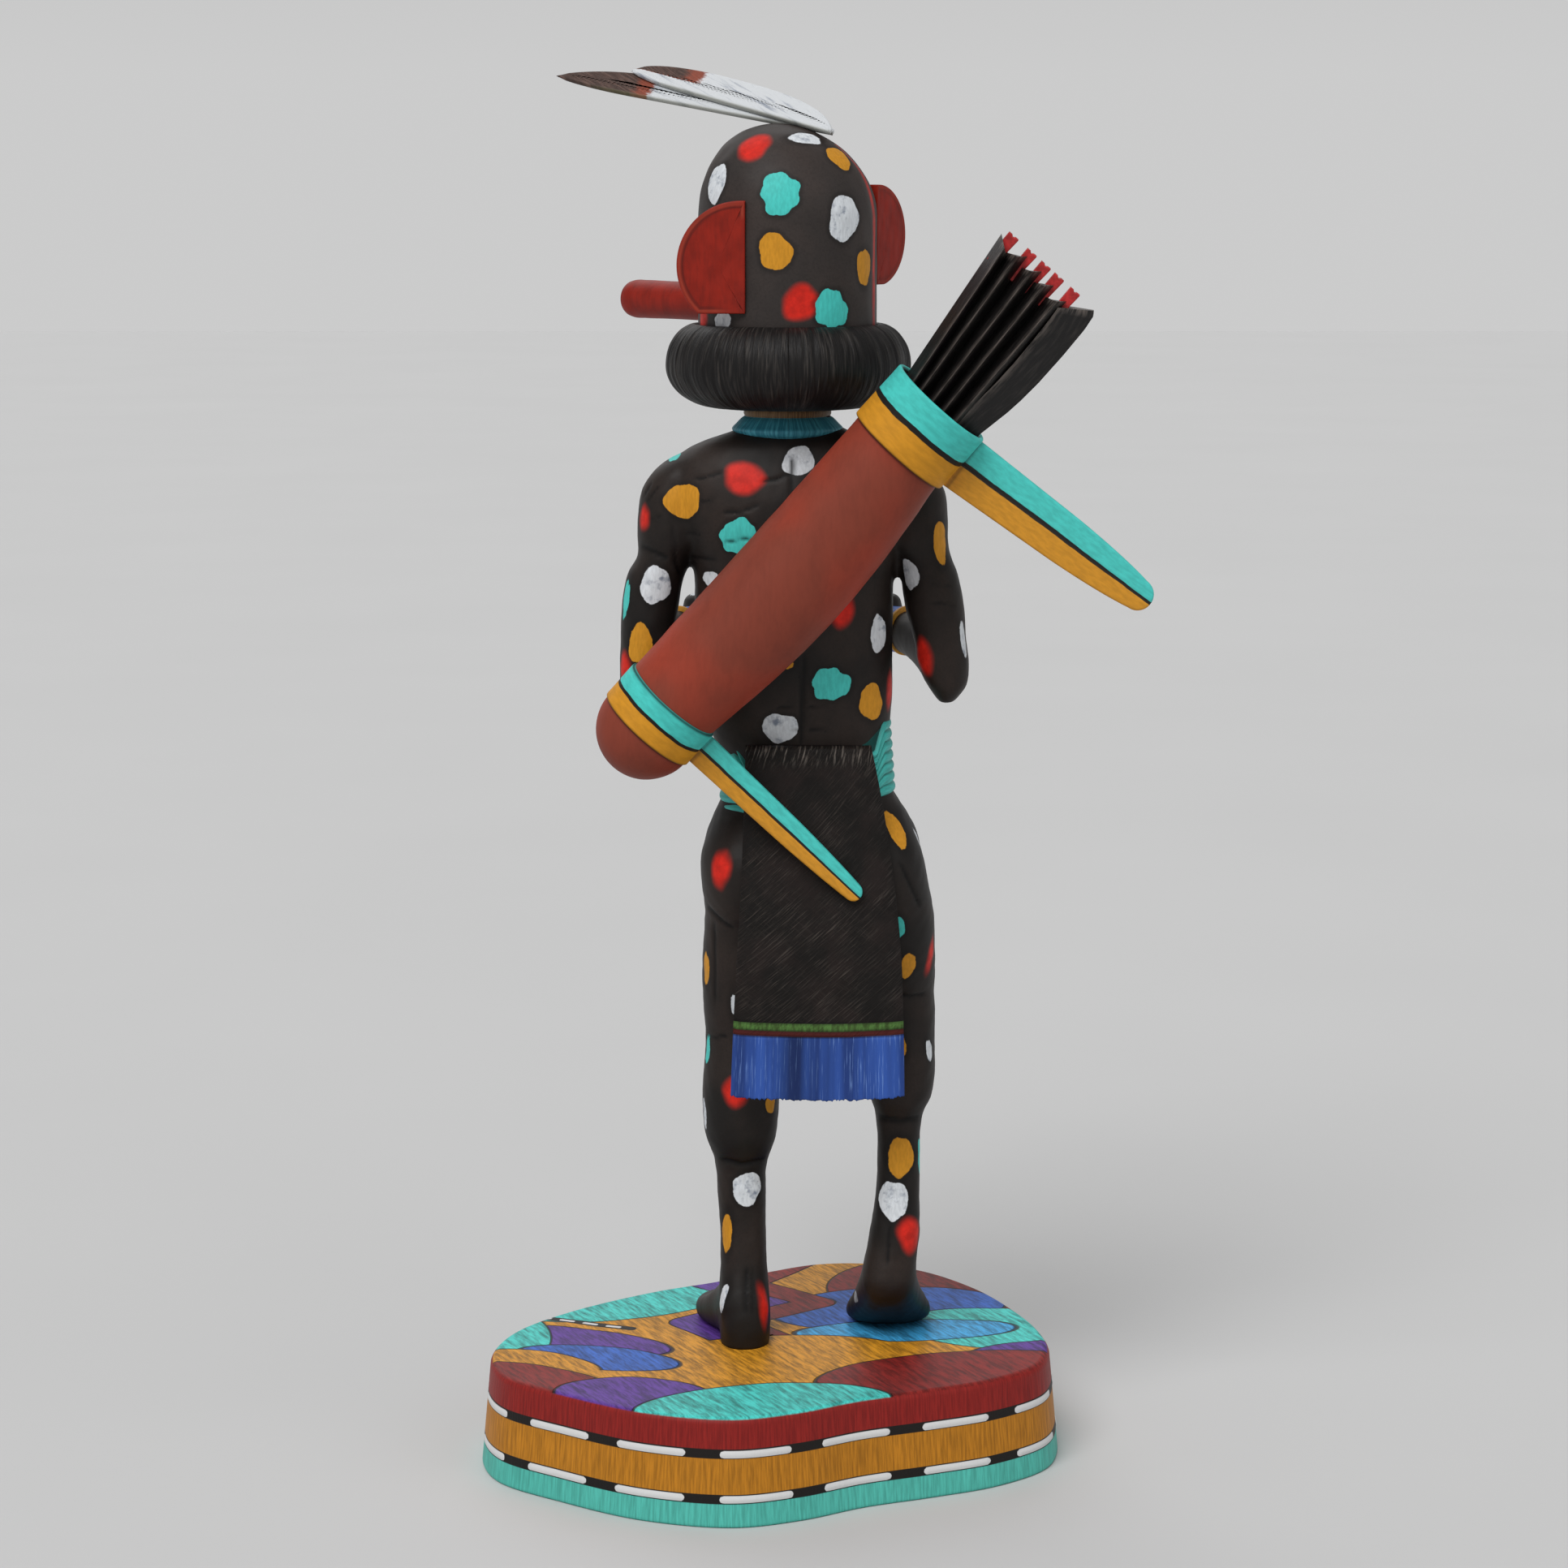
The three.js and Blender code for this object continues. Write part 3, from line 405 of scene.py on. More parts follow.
class Paint:
    """A material's nodes. Each call adds one node and gives back its output."""

    def __init__(self, name, roughness=0.5, gloss=0.3):
        self.material = bpy.data.materials.new(name)
        self.material.use_nodes = True
        self.tree = self.material.node_tree
        self.shader = self.tree.nodes["Principled BSDF"]
        self.shader.inputs["Roughness"].default_value = roughness
        self.shader.inputs["Specular IOR Level"].default_value = gloss
        place = self.tree.nodes.new("ShaderNodeTexCoord").outputs["Object"]
        self.place = self.scaled(place, (1000, 1000, 1000))

    def plug(self, socket, value):
        if isinstance(value, bpy.types.NodeSocket):
            self.tree.links.new(value, socket)
        elif isinstance(value, (tuple, list)) and len(value) == 3 and socket.type == "RGBA":
            socket.default_value = (*value, 1)
        else:
            socket.default_value = value

    def scaled(self, vector, factors):
        node = self.tree.nodes.new("ShaderNodeVectorMath")
        node.operation = "MULTIPLY"
        self.plug(node.inputs[0], vector)
        self.plug(node.inputs[1], factors)
        return node.outputs[0]

    def rotated(self, vector, angle):
        node = self.tree.nodes.new("ShaderNodeVectorRotate")
        node.rotation_type = "Z_AXIS"
        self.plug(node.inputs["Vector"], vector)
        node.inputs["Angle"].default_value = angle
        return node.outputs[0]

    def flat(self):
        node = self.tree.nodes.new("ShaderNodeUVMap")
        node.uv_map = "flat"
        return node.outputs[0]

    def part(self, vector, axis):
        node = self.tree.nodes.new("ShaderNodeSeparateXYZ")
        self.plug(node.inputs[0], vector)
        return node.outputs[axis]

    def mark(self, name):
        node = self.tree.nodes.new("ShaderNodeAttribute")
        node.attribute_name = name
        return node.outputs["Fac"]

    def noise(self, vector, length, detail=3.0, roughness=0.55, seed=0.0):
        """Noise whose patches are about as long as given, in millimetres."""
        node = self.tree.nodes.new("ShaderNodeTexNoise")
        node.noise_dimensions = "4D"
        self.plug(node.inputs["Vector"], vector)
        node.inputs["W"].default_value = seed
        node.inputs["Scale"].default_value = 1 / length
        node.inputs["Detail"].default_value = detail
        node.inputs["Roughness"].default_value = roughness
        return node.outputs["Fac"]

    def math(self, operation, a, b=0.0):
        node = self.tree.nodes.new("ShaderNodeMath")
        node.operation = operation
        self.plug(node.inputs[0], a)
        self.plug(node.inputs[1], b)
        return node.outputs[0]

    def step(self, value, start, end):
        """Rises smoothly from 0 to 1 as the value goes from start to end, or falls if end is the lower."""
        node = self.tree.nodes.new("ShaderNodeMapRange")
        node.interpolation_type = "SMOOTHSTEP"
        low, high = min(start, end), max(start, end)
        self.plug(node.inputs["Value"], value)
        node.inputs["From Min"].default_value = low
        node.inputs["From Max"].default_value = high
        node.inputs["To Min"].default_value = 0.0 if end > start else 1.0
        node.inputs["To Max"].default_value = 1.0 if end > start else 0.0
        return node.outputs["Result"]

    def mix(self, share, a, b):
        node = self.tree.nodes.new("ShaderNodeMix")
        node.data_type = "RGBA"
        self.plug(node.inputs[0], share)
        self.plug(node.inputs[6], a)
        self.plug(node.inputs[7], b)
        return node.outputs[2]

    def shaded(self, colour, amount, share):
        """Darkens a colour by the given share where amount is high."""
        return self.mix(self.math("MULTIPLY", amount, share), colour, tuple(0.5 * c for c in BLACK))

    def finish(self, colour, relief=None, height=0.1):
        """Relief is in millimetres once multiplied by height."""
        self.plug(self.shader.inputs["Base Color"], colour)
        if relief is not None:
            bump = self.tree.nodes.new("ShaderNodeBump")
            bump.inputs["Strength"].default_value = 1.0
            bump.inputs["Distance"].default_value = height * UNIT
            self.plug(bump.inputs["Height"], relief)
            self.plug(self.shader.inputs["Normal"], bump.outputs[0])
        return self.material


def tinted(paint, colour, patches, spread=0.25):
    """A colour that varies a little from patch to patch."""
    dark = tuple(c * (1 - spread) for c in colour)
    light = tuple(min(1.0, c * (1 + spread)) for c in colour)
    return paint.mix(paint.step(patches, 0.3, 0.7), dark, light)


def spotted(paint, colour, edge_noise):
    """Lays the four spot colours over a ground: red is sprayed softly, the others have crisp edges."""
    wavy = paint.math("MULTIPLY", paint.math("SUBTRACT", edge_noise, 0.5), 0.9)
    mottle = paint.noise(paint.place, 3.6, detail=4, roughness=0.6, seed=3)
    streak = paint.noise(paint.scaled(paint.place, (1.6, 1.6, 0.45)), 1.3, detail=4, seed=8)
    red = paint.step(paint.mark("red"), -1.6, 1.3)
    colour = paint.mix(red, colour, tinted(paint, RED, mottle, 0.2))
    for name, value in (("ochre", OCHRE), ("teal", TEAL), ("white", WHITE)):
        depth = paint.math("ADD", paint.mark(name), wavy)
        colour = paint.shaded(colour, paint.step(depth, -2.2, -0.1), 0.45)
        paint_colour = tinted(paint, value, streak, 0.1)
        if name == "white":
            paint_colour = paint.mix(paint.step(mottle, 0.5, 0.74), paint_colour, (0.20, 0.23, 0.29))
        colour = paint.mix(paint.step(depth, -0.12, 0.16), colour, paint_colour)
    return colour


def body_paint(name, dark, warm):
    paint = Paint(name, roughness=0.5, gloss=0.18)
    patches = paint.noise(paint.place, 30, detail=3)
    fine = paint.noise(paint.place, 0.8, detail=4, seed=2)
    edges = paint.noise(paint.place, 1.7, detail=3, seed=5)
    colour = paint.mix(paint.step(patches, 0.35, 0.7), dark, warm)
    colour = tinted_over(paint, colour, fine, 0.2)
    colour = spotted(paint, colour, edges)
    # Painted shade: the carved lines are darkened by their depth.
    colour = paint.shaded(colour, paint.mark("carved"), 0.9)
    # Black paint of the eyes and of the right foot's sole, with painted shade under the raised right heel.
    colour = paint.mix(paint.mark("soot"), colour, BLACK)
    return paint.finish(colour, fine, 0.035)


def tinted_over(paint, colour, amount, share):
    """Darkens a colour unevenly by noise."""
    return paint.mix(paint.math("MULTIPLY", paint.step(amount, 0.6, 0.3), share), colour, BLACK)


def mask_red_paint():
    paint = Paint("mask_red_paint", roughness=0.5, gloss=0.18)
    patches = paint.noise(paint.place, 7, detail=4)
    streak = paint.noise(paint.scaled(paint.place, (1, 1, 0.18)), 1.6, detail=4, seed=4)
    colour = tinted(paint, MASK_RED, patches, 0.14)
    colour = tinted_over(paint, colour, streak, 0.22)
    # Painted shade: a dark line inside the ears' curved edge, and the snout's dark end in place of a hollow;
    # painted highlight: a light line along the ears' curved edge.
    colour = paint.mix(paint.mark("painted_shade"), colour, (0.035, 0.006, 0.005))
    colour = paint.mix(paint.mark("wear_and_highlight"), colour, (0.33, 0.055, 0.030))
    return paint.finish(colour, streak, 0.05)


def hair_paint():
    paint = Paint("hair_paint", roughness=0.5, gloss=0.2)
    strands = paint.scaled(paint.flat(), (1, 0.06, 1))
    fine = paint.noise(strands, 0.55, detail=3, seed=1)
    broad = paint.noise(paint.scaled(paint.flat(), (1, 0.09, 1)), 2.2, detail=3, seed=6)
    colour = paint.mix(paint.step(fine, 0.42, 0.72), (0.006, 0.005, 0.005), (0.050, 0.043, 0.038))
    colour = paint.mix(paint.step(broad, 0.66, 0.36), colour, (0.007, 0.006, 0.006))
    return paint.finish(colour, paint.math("ADD", fine, broad), 0.4)


def collar_paint():
    paint = Paint("collar_paint", roughness=0.5)
    lines = paint.noise(paint.scaled(paint.flat(), (1, 0.08, 1)), 0.7, detail=3)
    height = paint.part(paint.flat(), 1)
    teal = paint.mix(paint.step(lines, 0.4, 0.62), (0.030, 0.20, 0.28), (0.075, 0.36, 0.46))
    ring = paint.mix(paint.step(lines, 0.4, 0.62), (0.11, 0.06, 0.025), (0.22, 0.13, 0.055))
    colour = paint.mix(paint.step(height, NECK_RING, NECK_RING + 0.3), teal, ring)
    return paint.finish(colour, lines, 0.25)


def belt_paint():
    paint = Paint("belt_paint", roughness=0.5)
    streak = paint.noise(paint.scaled(paint.flat(), (0.12, 1, 1)), 0.9, detail=4)
    # The belt's teal is the spots' teal darkened as painted shade.
    colour = tinted(paint, SHADED_BELT_TEAL, streak, 0.22)
    # Painted shade in the hollows between the pleats.
    colour = paint.shaded(colour, paint.mark("carved"), 0.85)
    return paint.finish(colour, streak, 0.1)


def scratches(paint, place, angle, seed):
    """Thin light scratches in one direction."""
    lines = paint.scaled(paint.rotated(place, angle), (0.05, 1.0, 1))
    return paint.step(paint.noise(lines, 0.5, detail=3, roughness=0.65, seed=seed), 0.48, 0.70)


def apron_paint():
    paint = Paint("apron_paint", roughness=0.6, gloss=0.15)
    place = paint.flat()
    level = paint.mark("level")
    patches = paint.noise(paint.place, 12, detail=3, seed=2)
    cloth = paint.mix(paint.step(patches, 0.4, 0.7), (0.0070, 0.0058, 0.0052), (0.0150, 0.0100, 0.0090))
    hatch = paint.math("MAXIMUM", scratches(paint, place, math.radians(-40), 1), paint.math(
        "MULTIPLY", scratches(paint, place, math.radians(36), 5), 0.25))
    faded = paint.math("MULTIPLY", hatch, paint.step(paint.noise(paint.place, 16, seed=9), 0.3, 0.62))
    cloth = paint.mix(paint.math("MULTIPLY", faded, 0.6), cloth, (0.088, 0.072, 0.062))
    strand = paint.noise(paint.scaled(place, (1, 0.03, 1)), 0.5, detail=3, roughness=0.6, seed=4)
    wide = paint.noise(paint.scaled(place, (1, 0.035, 1)), 6, detail=2, seed=7)
    fringe = paint.mix(paint.step(wide, 0.35, 0.62), (0.018, 0.045, 0.19), (0.035, 0.095, 0.38))
    fringe = paint.mix(paint.math("MULTIPLY", paint.step(strand, 0.55, 0.7), 0.7), fringe, (0.20, 0.34, 0.70))
    top_hair = paint.noise(paint.scaled(paint.rotated(place, math.radians(25)), (1, 0.12, 1)), 0.8, seed=3)
    top = paint.math("MULTIPLY", paint.step(top_hair, 0.5, 0.7), paint.step(level, 112, 118))
    cloth = paint.mix(paint.math("MULTIPLY", top, 0.7), cloth, (0.22, 0.19, 0.165))
    bright = paint.noise(paint.scaled(place, (1, 0.3, 1)), 1.2, detail=3, seed=11)
    green = paint.mix(paint.step(bright, 0.35, 0.65), (0.045, 0.085, 0.020), (0.085, 0.19, 0.045))
    colour = paint.mix(paint.step(level, GREEN_TOP + 0.1, GREEN_TOP - 0.1), cloth, green)
    colour = paint.mix(paint.step(level, GREEN_FOOT + 0.1, GREEN_FOOT - 0.1), colour, (0.075, 0.012, 0.010))
    colour = paint.mix(paint.step(level, FRINGE_TOP + 0.1, FRINGE_TOP - 0.1), colour, fringe)
    # Painted shade in the grooves between the bands and in the hollows of the fringe's folds.
    colour = paint.shaded(colour, paint.mark("carved"), 0.85)
    relief = paint.mix(paint.step(level, FRINGE_TOP + 0.1, FRINGE_TOP - 0.1), hatch, strand)
    return paint.finish(colour, relief, 0.16)


def quiver_paint():
    paint = Paint("quiver_paint", roughness=0.55, gloss=0.16)
    height = paint.part(paint.flat(), 1)
    patches = paint.noise(paint.scaled(paint.place, (1, 1, 0.5)), 6, detail=4)
    streak = paint.noise(paint.scaled(paint.place, (1, 1, 0.2)), 1.1, detail=4, seed=4)
    broad = paint.noise(paint.place, 45, detail=2, seed=9)
    wood = paint.mix(paint.step(broad, 0.35, 0.68), (0.22, 0.046, 0.027), (0.33, 0.045, 0.023))
    wood = tinted_over(paint, wood, patches, 0.10)
    wood = tinted_over(paint, wood, streak, 0.07)
    grain = paint.noise(paint.scaled(paint.flat(), (0.3, 1, 1)), 1.4, detail=4, seed=13)
    wavy = paint.math("MULTIPLY", paint.math("SUBTRACT", paint.noise(paint.place, 9, seed=2), 0.5), 1.2)
    place = paint.math("ADD", height, wavy)
    colour = wood
    for low, width in ((0.0, LOWER_BAND), (QUIVER_LENGTH - UPPER_BAND, UPPER_BAND)):
        ochre_top, black_top = low + 0.46 * width, low + 0.545 * width
        inside = paint.math("MULTIPLY", paint.step(height, low - 0.1, low + 0.1),
                            paint.step(height, low + width + 0.6, low + width + 0.4))
        stripes = paint.mix(paint.step(place, ochre_top - 0.12, ochre_top + 0.12),
                            tinted(paint, OCHRE, grain, 0.10), BODY)
        stripes = paint.mix(paint.step(place, black_top - 0.12, black_top + 0.12), stripes,
                            tinted(paint, TEAL, grain, 0.12))
        colour = paint.mix(inside, colour, stripes)
    # Painted shade: the grooves at the bands' edges are darkened, and the socket's inside is painted black as
    # its shade round the arrows.
    colour = paint.shaded(colour, paint.mark("carved"), 0.8)
    colour = paint.mix(paint.mark("inside"), colour, BLACK)
    return paint.finish(colour, streak, 0.06)


def tie_paint():
    paint = Paint("tie_paint", roughness=0.5)
    across = paint.mark("across")
    wavy = paint.math("MULTIPLY", paint.math("SUBTRACT", paint.noise(paint.place, 8, seed=2), 0.5), 0.12)
    place = paint.math("ADD", across, wavy)
    grain = paint.noise(paint.scaled(paint.flat(), (0.3, 1, 1)), 1.2, detail=4, seed=12)
    colour = tinted(paint, OCHRE, grain, 0.12)
    colour = paint.mix(paint.step(place, -0.10, -0.07), colour, BODY)
    colour = paint.mix(paint.step(place, 0.09, 0.12), colour, tinted(paint, TEAL, grain, 0.12))
    # Painted shade in the crease where the tie meets the band.
    colour = paint.shaded(colour, paint.mark("carved"), 0.6)
    return paint.finish(colour, grain, 0.06)


def fletching_paint():
    paint = Paint("fletching_paint", roughness=0.42)
    streak = paint.noise(paint.scaled(paint.flat(), (1, 0.08, 1)), 0.6, detail=4)
    colour = paint.mix(paint.step(streak, 0.45, 0.75), (0.008, 0.007, 0.007), (0.028, 0.024, 0.022))
    # Paler speckled paint along the ridges and tips: wear.
    wear_and_highlight = paint.math("MULTIPLY", paint.mark("ridge"), paint.step(streak, 0.34, 0.6))
    colour = paint.mix(wear_and_highlight, colour, (0.15, 0.125, 0.11))
    return paint.finish(colour, streak, 0.15)


def nock_paint():
    paint = Paint("nock_paint", roughness=0.45)
    patches = paint.noise(paint.place, 2.2, detail=4)
    return paint.finish(tinted(paint, (0.42, 0.022, 0.022), patches, 0.3), patches, 0.08)


def feather_paint():
    paint = Paint("feather_paint", roughness=0.55)
    flat = paint.flat()
    along = paint.part(flat, 0)
    barbs = paint.noise(paint.scaled(paint.rotated(flat, math.radians(-24)), (0.07, 1, 1)), 0.55, detail=3)
    ragged = paint.math("MULTIPLY", paint.math("SUBTRACT", paint.noise(
        paint.scaled(flat, (0.5, 1, 1)), 1.2, detail=4, seed=4), 0.5), 7.0)
    from_tip = paint.math("ADD", paint.mark("from_tip"), ragged)
    drawn_out = paint.scaled(paint.rotated(flat, math.radians(-16)), (0.10, 1, 1))
    streak = paint.noise(drawn_out, 1.5, detail=5, seed=7)
    white = paint.mix(paint.step(streak, 0.52, 0.72), (0.62, 0.64, 0.66), (0.24, 0.27, 0.33))
    white = paint.mix(paint.math("MULTIPLY", paint.step(barbs, 0.6, 0.75), 0.35), white, (0.22, 0.24, 0.30))
    brown = paint.mix(paint.step(barbs, 0.42, 0.66), (0.055, 0.032, 0.026), (0.13, 0.075, 0.060))
    rust = tinted(paint, (0.24, 0.060, 0.035), barbs, 0.25)
    colour = paint.mix(paint.step(from_tip, 26.5, 24.5), white, rust)
    colour = paint.mix(paint.step(from_tip, 21.5, 18), colour, brown)
    # Painted shade along each feather's straight lower edge.
    colour = paint.mix(paint.mark("painted_shade"), colour, (0.11, 0.11, 0.05))
    return paint.finish(colour, barbs, 0.10)


def cuff_paint():
    paint = Paint("cuff_paint", roughness=0.5)
    height = paint.part(paint.flat(), 1)
    patches = paint.noise(paint.place, 1.5, detail=3)
    colour = paint.mix(paint.step(height, 0.24, 0.27), tinted(paint, OCHRE, patches, 0.15), tinted(
        paint, BLUE, patches, 0.2))
    return paint.finish(colour, patches, 0.08)


def base_side(paint, streak):
    """The side's bands by height, with white dashes on the two black lines."""
    height = paint.mark("level")
    teal = tinted(paint, (0.080, 0.44, 0.37), streak, 0.22)
    ochre = tinted(paint, (0.43, 0.17, 0.012), streak, 0.30)
    red = paint.mix(paint.step(streak, 0.3, 0.7), (0.17, 0.010, 0.009), (0.29, 0.018, 0.014))
    colour = teal
    for band_foot, band in zip(SIDE_BANDS, (BODY, ochre, BODY, red)):
        colour = paint.mix(paint.step(height, band_foot, band_foot + 0.25), colour, band)
    return paint.mix(paint.step(paint.mark("dash"), -0.1, 0.15), colour, (0.66, 0.66, 0.66))


def base_paint():
    """Top and side in one: each field of the top has a thin incised outline."""
    paint = Paint("base_paint", roughness=0.5, gloss=0.18)
    side_streak = paint.noise(paint.scaled(paint.flat(), (1, 0.07, 1)), 0.8, detail=4)
    top_place = paint.scaled(paint.rotated(paint.place, math.radians(64)), (0.14, 1, 1))
    grain = paint.noise(top_place, 1.2, detail=5, roughness=0.65, seed=3)
    top = tinted(paint, OCHRE, grain, 0.3)
    line = 0.0
    for name, value in TOP_COLOURS.items():
        inside = paint.mark(name + "_field")
        top = paint.mix(paint.step(inside, -0.1, 0.1), top, tinted(paint, value, grain, 0.3))
        line = paint.math("MAXIMUM", line, paint.step(paint.math("ABSOLUTE", inside), 0.5, 0.2))
    top = tinted_over(paint, top, grain, 0.45)
    top = paint.mix(paint.math("MULTIPLY", line, 0.9), top, BLACK)
    top = paint.mix(paint.step(paint.mark("top_dash"), -0.1, 0.1), top, (0.66, 0.66, 0.66))
    on_top = paint.mark("top")
    colour = paint.mix(on_top, base_side(paint, side_streak), top)
    relief = paint.mix(on_top, side_streak, paint.math("SUBTRACT", grain, paint.math("MULTIPLY", line, 2.0)))
    return paint.finish(colour, relief, 0.16)


# Base

BASE_OUTLINE = [
    (101, 24), (94, 51), (71, 72), (42, 91), (12, 98), (-10, 91), (-32, 77.5), (-55, 67.5), (-77.5, 56),
    (-95.5, 38), (-101, 16), (-99, -8), (-91.5, -34), (-78.5, -63), (-58, -88), (-36, -98), (-15, -96.5),
    (5, -85), (24, -72), (46, -59), (76, -33), (95, -6),
]
BASE_COLUMNS = 540
BASE_BATTER = 3.2
BASE_ROUND = 2.6
SIDE_BANDS = (8.0, 11.2, 23.2, 26.4)
DASH_LENGTH = 26.0
DASH_GAP = 12.0
DASH_HEIGHTS = (9.7, 24.8)
DASH_HALF = 1.25
DASH_PROUD = 0.35


def lobe(x, y, half_width, half_depth, turn=0.0):
    """How far inside an oval a flat place is, about in millimetres."""
    def inside(places):
        c, s = math.cos(math.radians(turn)), math.sin(math.radians(turn))
        d = places - (x, y)
        along, across = d @ (c, s), d @ (-s, c)
        return (1 - np.hypot(along / half_width, across / half_depth)) * min(half_width, half_depth)
    return inside


def stroke(path, half_width):
    """How far inside a band along a run of lines a flat place is."""
    return lambda places: half_width - distance_to_path(places, path)[0]


TOP_COLOURS = {
    "teal": TEAL, "dark_red": DARK_RED, "purple": PURPLE, "blue": BLUE,
    "light_blue": LIGHT_BLUE, "black": BODY,
}
TOP_FIELDS = [
    ("teal", lobe(52, -52, 50, 30, 30)),
    ("dark_red", lobe(-66, -62, 46, 42, 20)),
    ("blue", lobe(-42, -34, 44, 26, 12)),
    ("teal", lobe(-86, -8, 42, 25, -12)),
    ("light_blue", lobe(-48, -6, 40, 13, 6)),
    ("purple", stroke([(2, -100), (24, -66), (-2, -42), (30, -16), (14, 6)], 6.5)),
    ("dark_red", stroke([(-14, -100), (9, -65), (-17, -41), (14, -16), (-2, 4)], 6.5)),
    ("ochre", lobe(-6, 26, 46, 26, 4)),
    ("purple", lobe(-98, 20, 30, 14, 10)),
    ("dark_red", lobe(-66, 46, 52, 26, 14)),
    ("purple", lobe(66, 6, 34, 13, -24)),
    ("teal", lobe(104, 2, 26, 40, 8)),
    ("blue", lobe(60, 27, 30, 13, -18)),
    ("ochre", lobe(82, 34, 26, 14, -28)),
    ("dark_red", lobe(84, 56, 36, 20, -30)),
    ("purple", lobe(46, 70, 28, 20, -14)),
    ("teal", lobe(2, 84, 46, 27, 14)),
    ("black", stroke([(88, -24), (50, -8)], 1.7)),
]
TOP_DASHES = ([(86, -23.2), (52, -8.8)], 0.9, 6.0, 3.2)


def closed_curve(corners, count):
    """Evenly spaced points on the smooth closed curve through the corners."""
    p = np.asarray(corners, float)
    t = np.linspace(0, 1, 60, endpoint=False)[:, None]
    runs = []
    for i in range(len(p)):
        p0, p1, p2, p3 = p[i - 1], p[i], p[(i + 1) % len(p)], p[(i + 2) % len(p)]
        d0, d1, d2 = (math.sqrt(np.linalg.norm(b - a)) for a, b in ((p0, p1), (p1, p2), (p2, p3)))
        m1 = ((p1 - p0) / d0 - (p2 - p0) / (d0 + d1) + (p2 - p1) / d1) * d1
        m2 = ((p2 - p1) / d1 - (p3 - p1) / (d1 + d2) + (p3 - p2) / d2) * d1
        runs.append((2 * t**3 - 3 * t**2 + 1) * p1 + (t**3 - 2 * t**2 + t) * m1
                    + (3 * t**2 - 2 * t**3) * p2 + (t**3 - t**2) * m2)
    return evenly(np.concatenate(runs), count)


def evenly(path, count):
    """Evenly spaced points round a closed run of lines."""
    closed = np.concatenate([path, path[:1]])
    lengths = np.concatenate([[0], np.cumsum(np.linalg.norm(np.diff(closed, axis=0), axis=1))])
    at = np.linspace(0, lengths[-1], count, endpoint=False)
    return np.stack([np.interp(at, lengths, closed[:, k]) for k in range(closed.shape[1])], -1)


def outward_normals(outline):
    """Unit directions out of a closed flat outline."""
    along = np.roll(outline, -1, 0) - np.roll(outline, 1, 0)
    out = np.stack([along[:, 1], -along[:, 0]], -1)
    out /= np.linalg.norm(out, axis=1)[:, None]
    turning = (outline[:, 0] * along[:, 1] - outline[:, 1] * along[:, 0]).sum()
    return out if turning > 0 else -out


def top_marks(places):
    """How far inside each colour's visible areas a place is, and inside a white dash."""
    marks = {name: np.full(len(places), -9.0) for name in TOP_COLOURS}
    for colour, measure in TOP_FIELDS:
        inside = measure(places)
        for name, mark in marks.items():
            marks[name] = np.maximum(mark, inside) if name == colour else np.minimum(mark, -inside)
    marks = {name + "_field": value for name, value in marks.items()}
    path, half_width, dash, gap = TOP_DASHES
    away, share = distance_to_path(places, path)
    length = float(np.linalg.norm(np.subtract(path[1], path[0])))
    phase = np.mod(share * length, dash + gap) - (dash + gap) / 2
    marks["top_dash"] = np.minimum(half_width - away, dash / 2 - np.abs(phase))
    return marks


def make_base(material):
    count = BASE_COLUMNS
    outline = closed_curve(BASE_OUTLINE, count)
    outward = outward_normals(outline)
    perimeter = np.linalg.norm(np.diff(outline, axis=0), axis=1).sum()
    along = np.arange(count) * perimeter / count
    dashes = round(perimeter / (DASH_LENGTH + DASH_GAP))
    period = perimeter / dashes
    from_dash = np.abs(np.mod(along, period) - period / 2)
    rise = np.linspace(0.8, BASE_TOP - BASE_ROUND, 54)
    rows = [(0.0, 0.9), (0.3, 0.3)] + [(z, BASE_BATTER * z / (BASE_TOP - BASE_ROUND)) for z in rise]
    for angle in np.linspace(0, math.pi / 2, 8)[1:]:
        rows.append((BASE_TOP - BASE_ROUND + BASE_ROUND * math.sin(angle),
                     BASE_BATTER + BASE_ROUND * (1 - math.cos(angle))))
    rings, dash_marks = [np.column_stack([outline * 0.01, np.zeros(count)])], [np.full(count, -1.0)]
    for z, inset in rows:
        inside = np.max([
            DASH_HALF - np.hypot(np.maximum(from_dash - DASH_LENGTH / 2 + DASH_HALF, 0), z - middle)
            for middle in DASH_HEIGHTS
        ], axis=0)
        proud = DASH_PROUD * np.clip(inside / 0.5, 0, 1)
        flat = outline + outward * (proud - inset)[:, None]
        rings.append(np.column_stack([flat, np.full(count, z)]))
        dash_marks.append(inside)
    rings = np.stack(rings)
    level = rings[..., 2]
    marks = {"level": level, "dash": np.stack(dash_marks), "top": (level > BASE_TOP - 0.8) * 1.0}
    marks.update({k: v.reshape(level.shape) for k, v in top_marks(rings[..., :2].reshape(-1, 2)).items()})
    places = np.stack([np.broadcast_to(along, level.shape), level], -1)
    grid_piece("base_side", "base", rings, material, capped=False, places=places, marks=marks)

    edge = outline - outward * (BASE_BATTER + BASE_ROUND)
    shares = np.linspace(1, 0.01, 92)
    flat = edge * shares[:, None, None]
    top = np.concatenate([flat, np.full(flat.shape[:2] + (1,), BASE_TOP)], -1)
    uneven = ripple(top.reshape(-1, 3), 26, 5).reshape(top.shape[:2]) * 0.10
    top[..., 2] += uneven * np.clip((1 - shares[:, None]) * 20, 0, 1)
    marks = {"level": BASE_TOP, "dash": -1.0, "top": 1.0}
    marks.update({k: v.reshape(top.shape[:2]) for k, v in top_marks(top[..., :2].reshape(-1, 2)).items()})
    grid_piece("base_top", "base", top, material, capped=False, places=top[..., :2], marks=marks)


# Body and limbs: stations from the soles up or from the top down

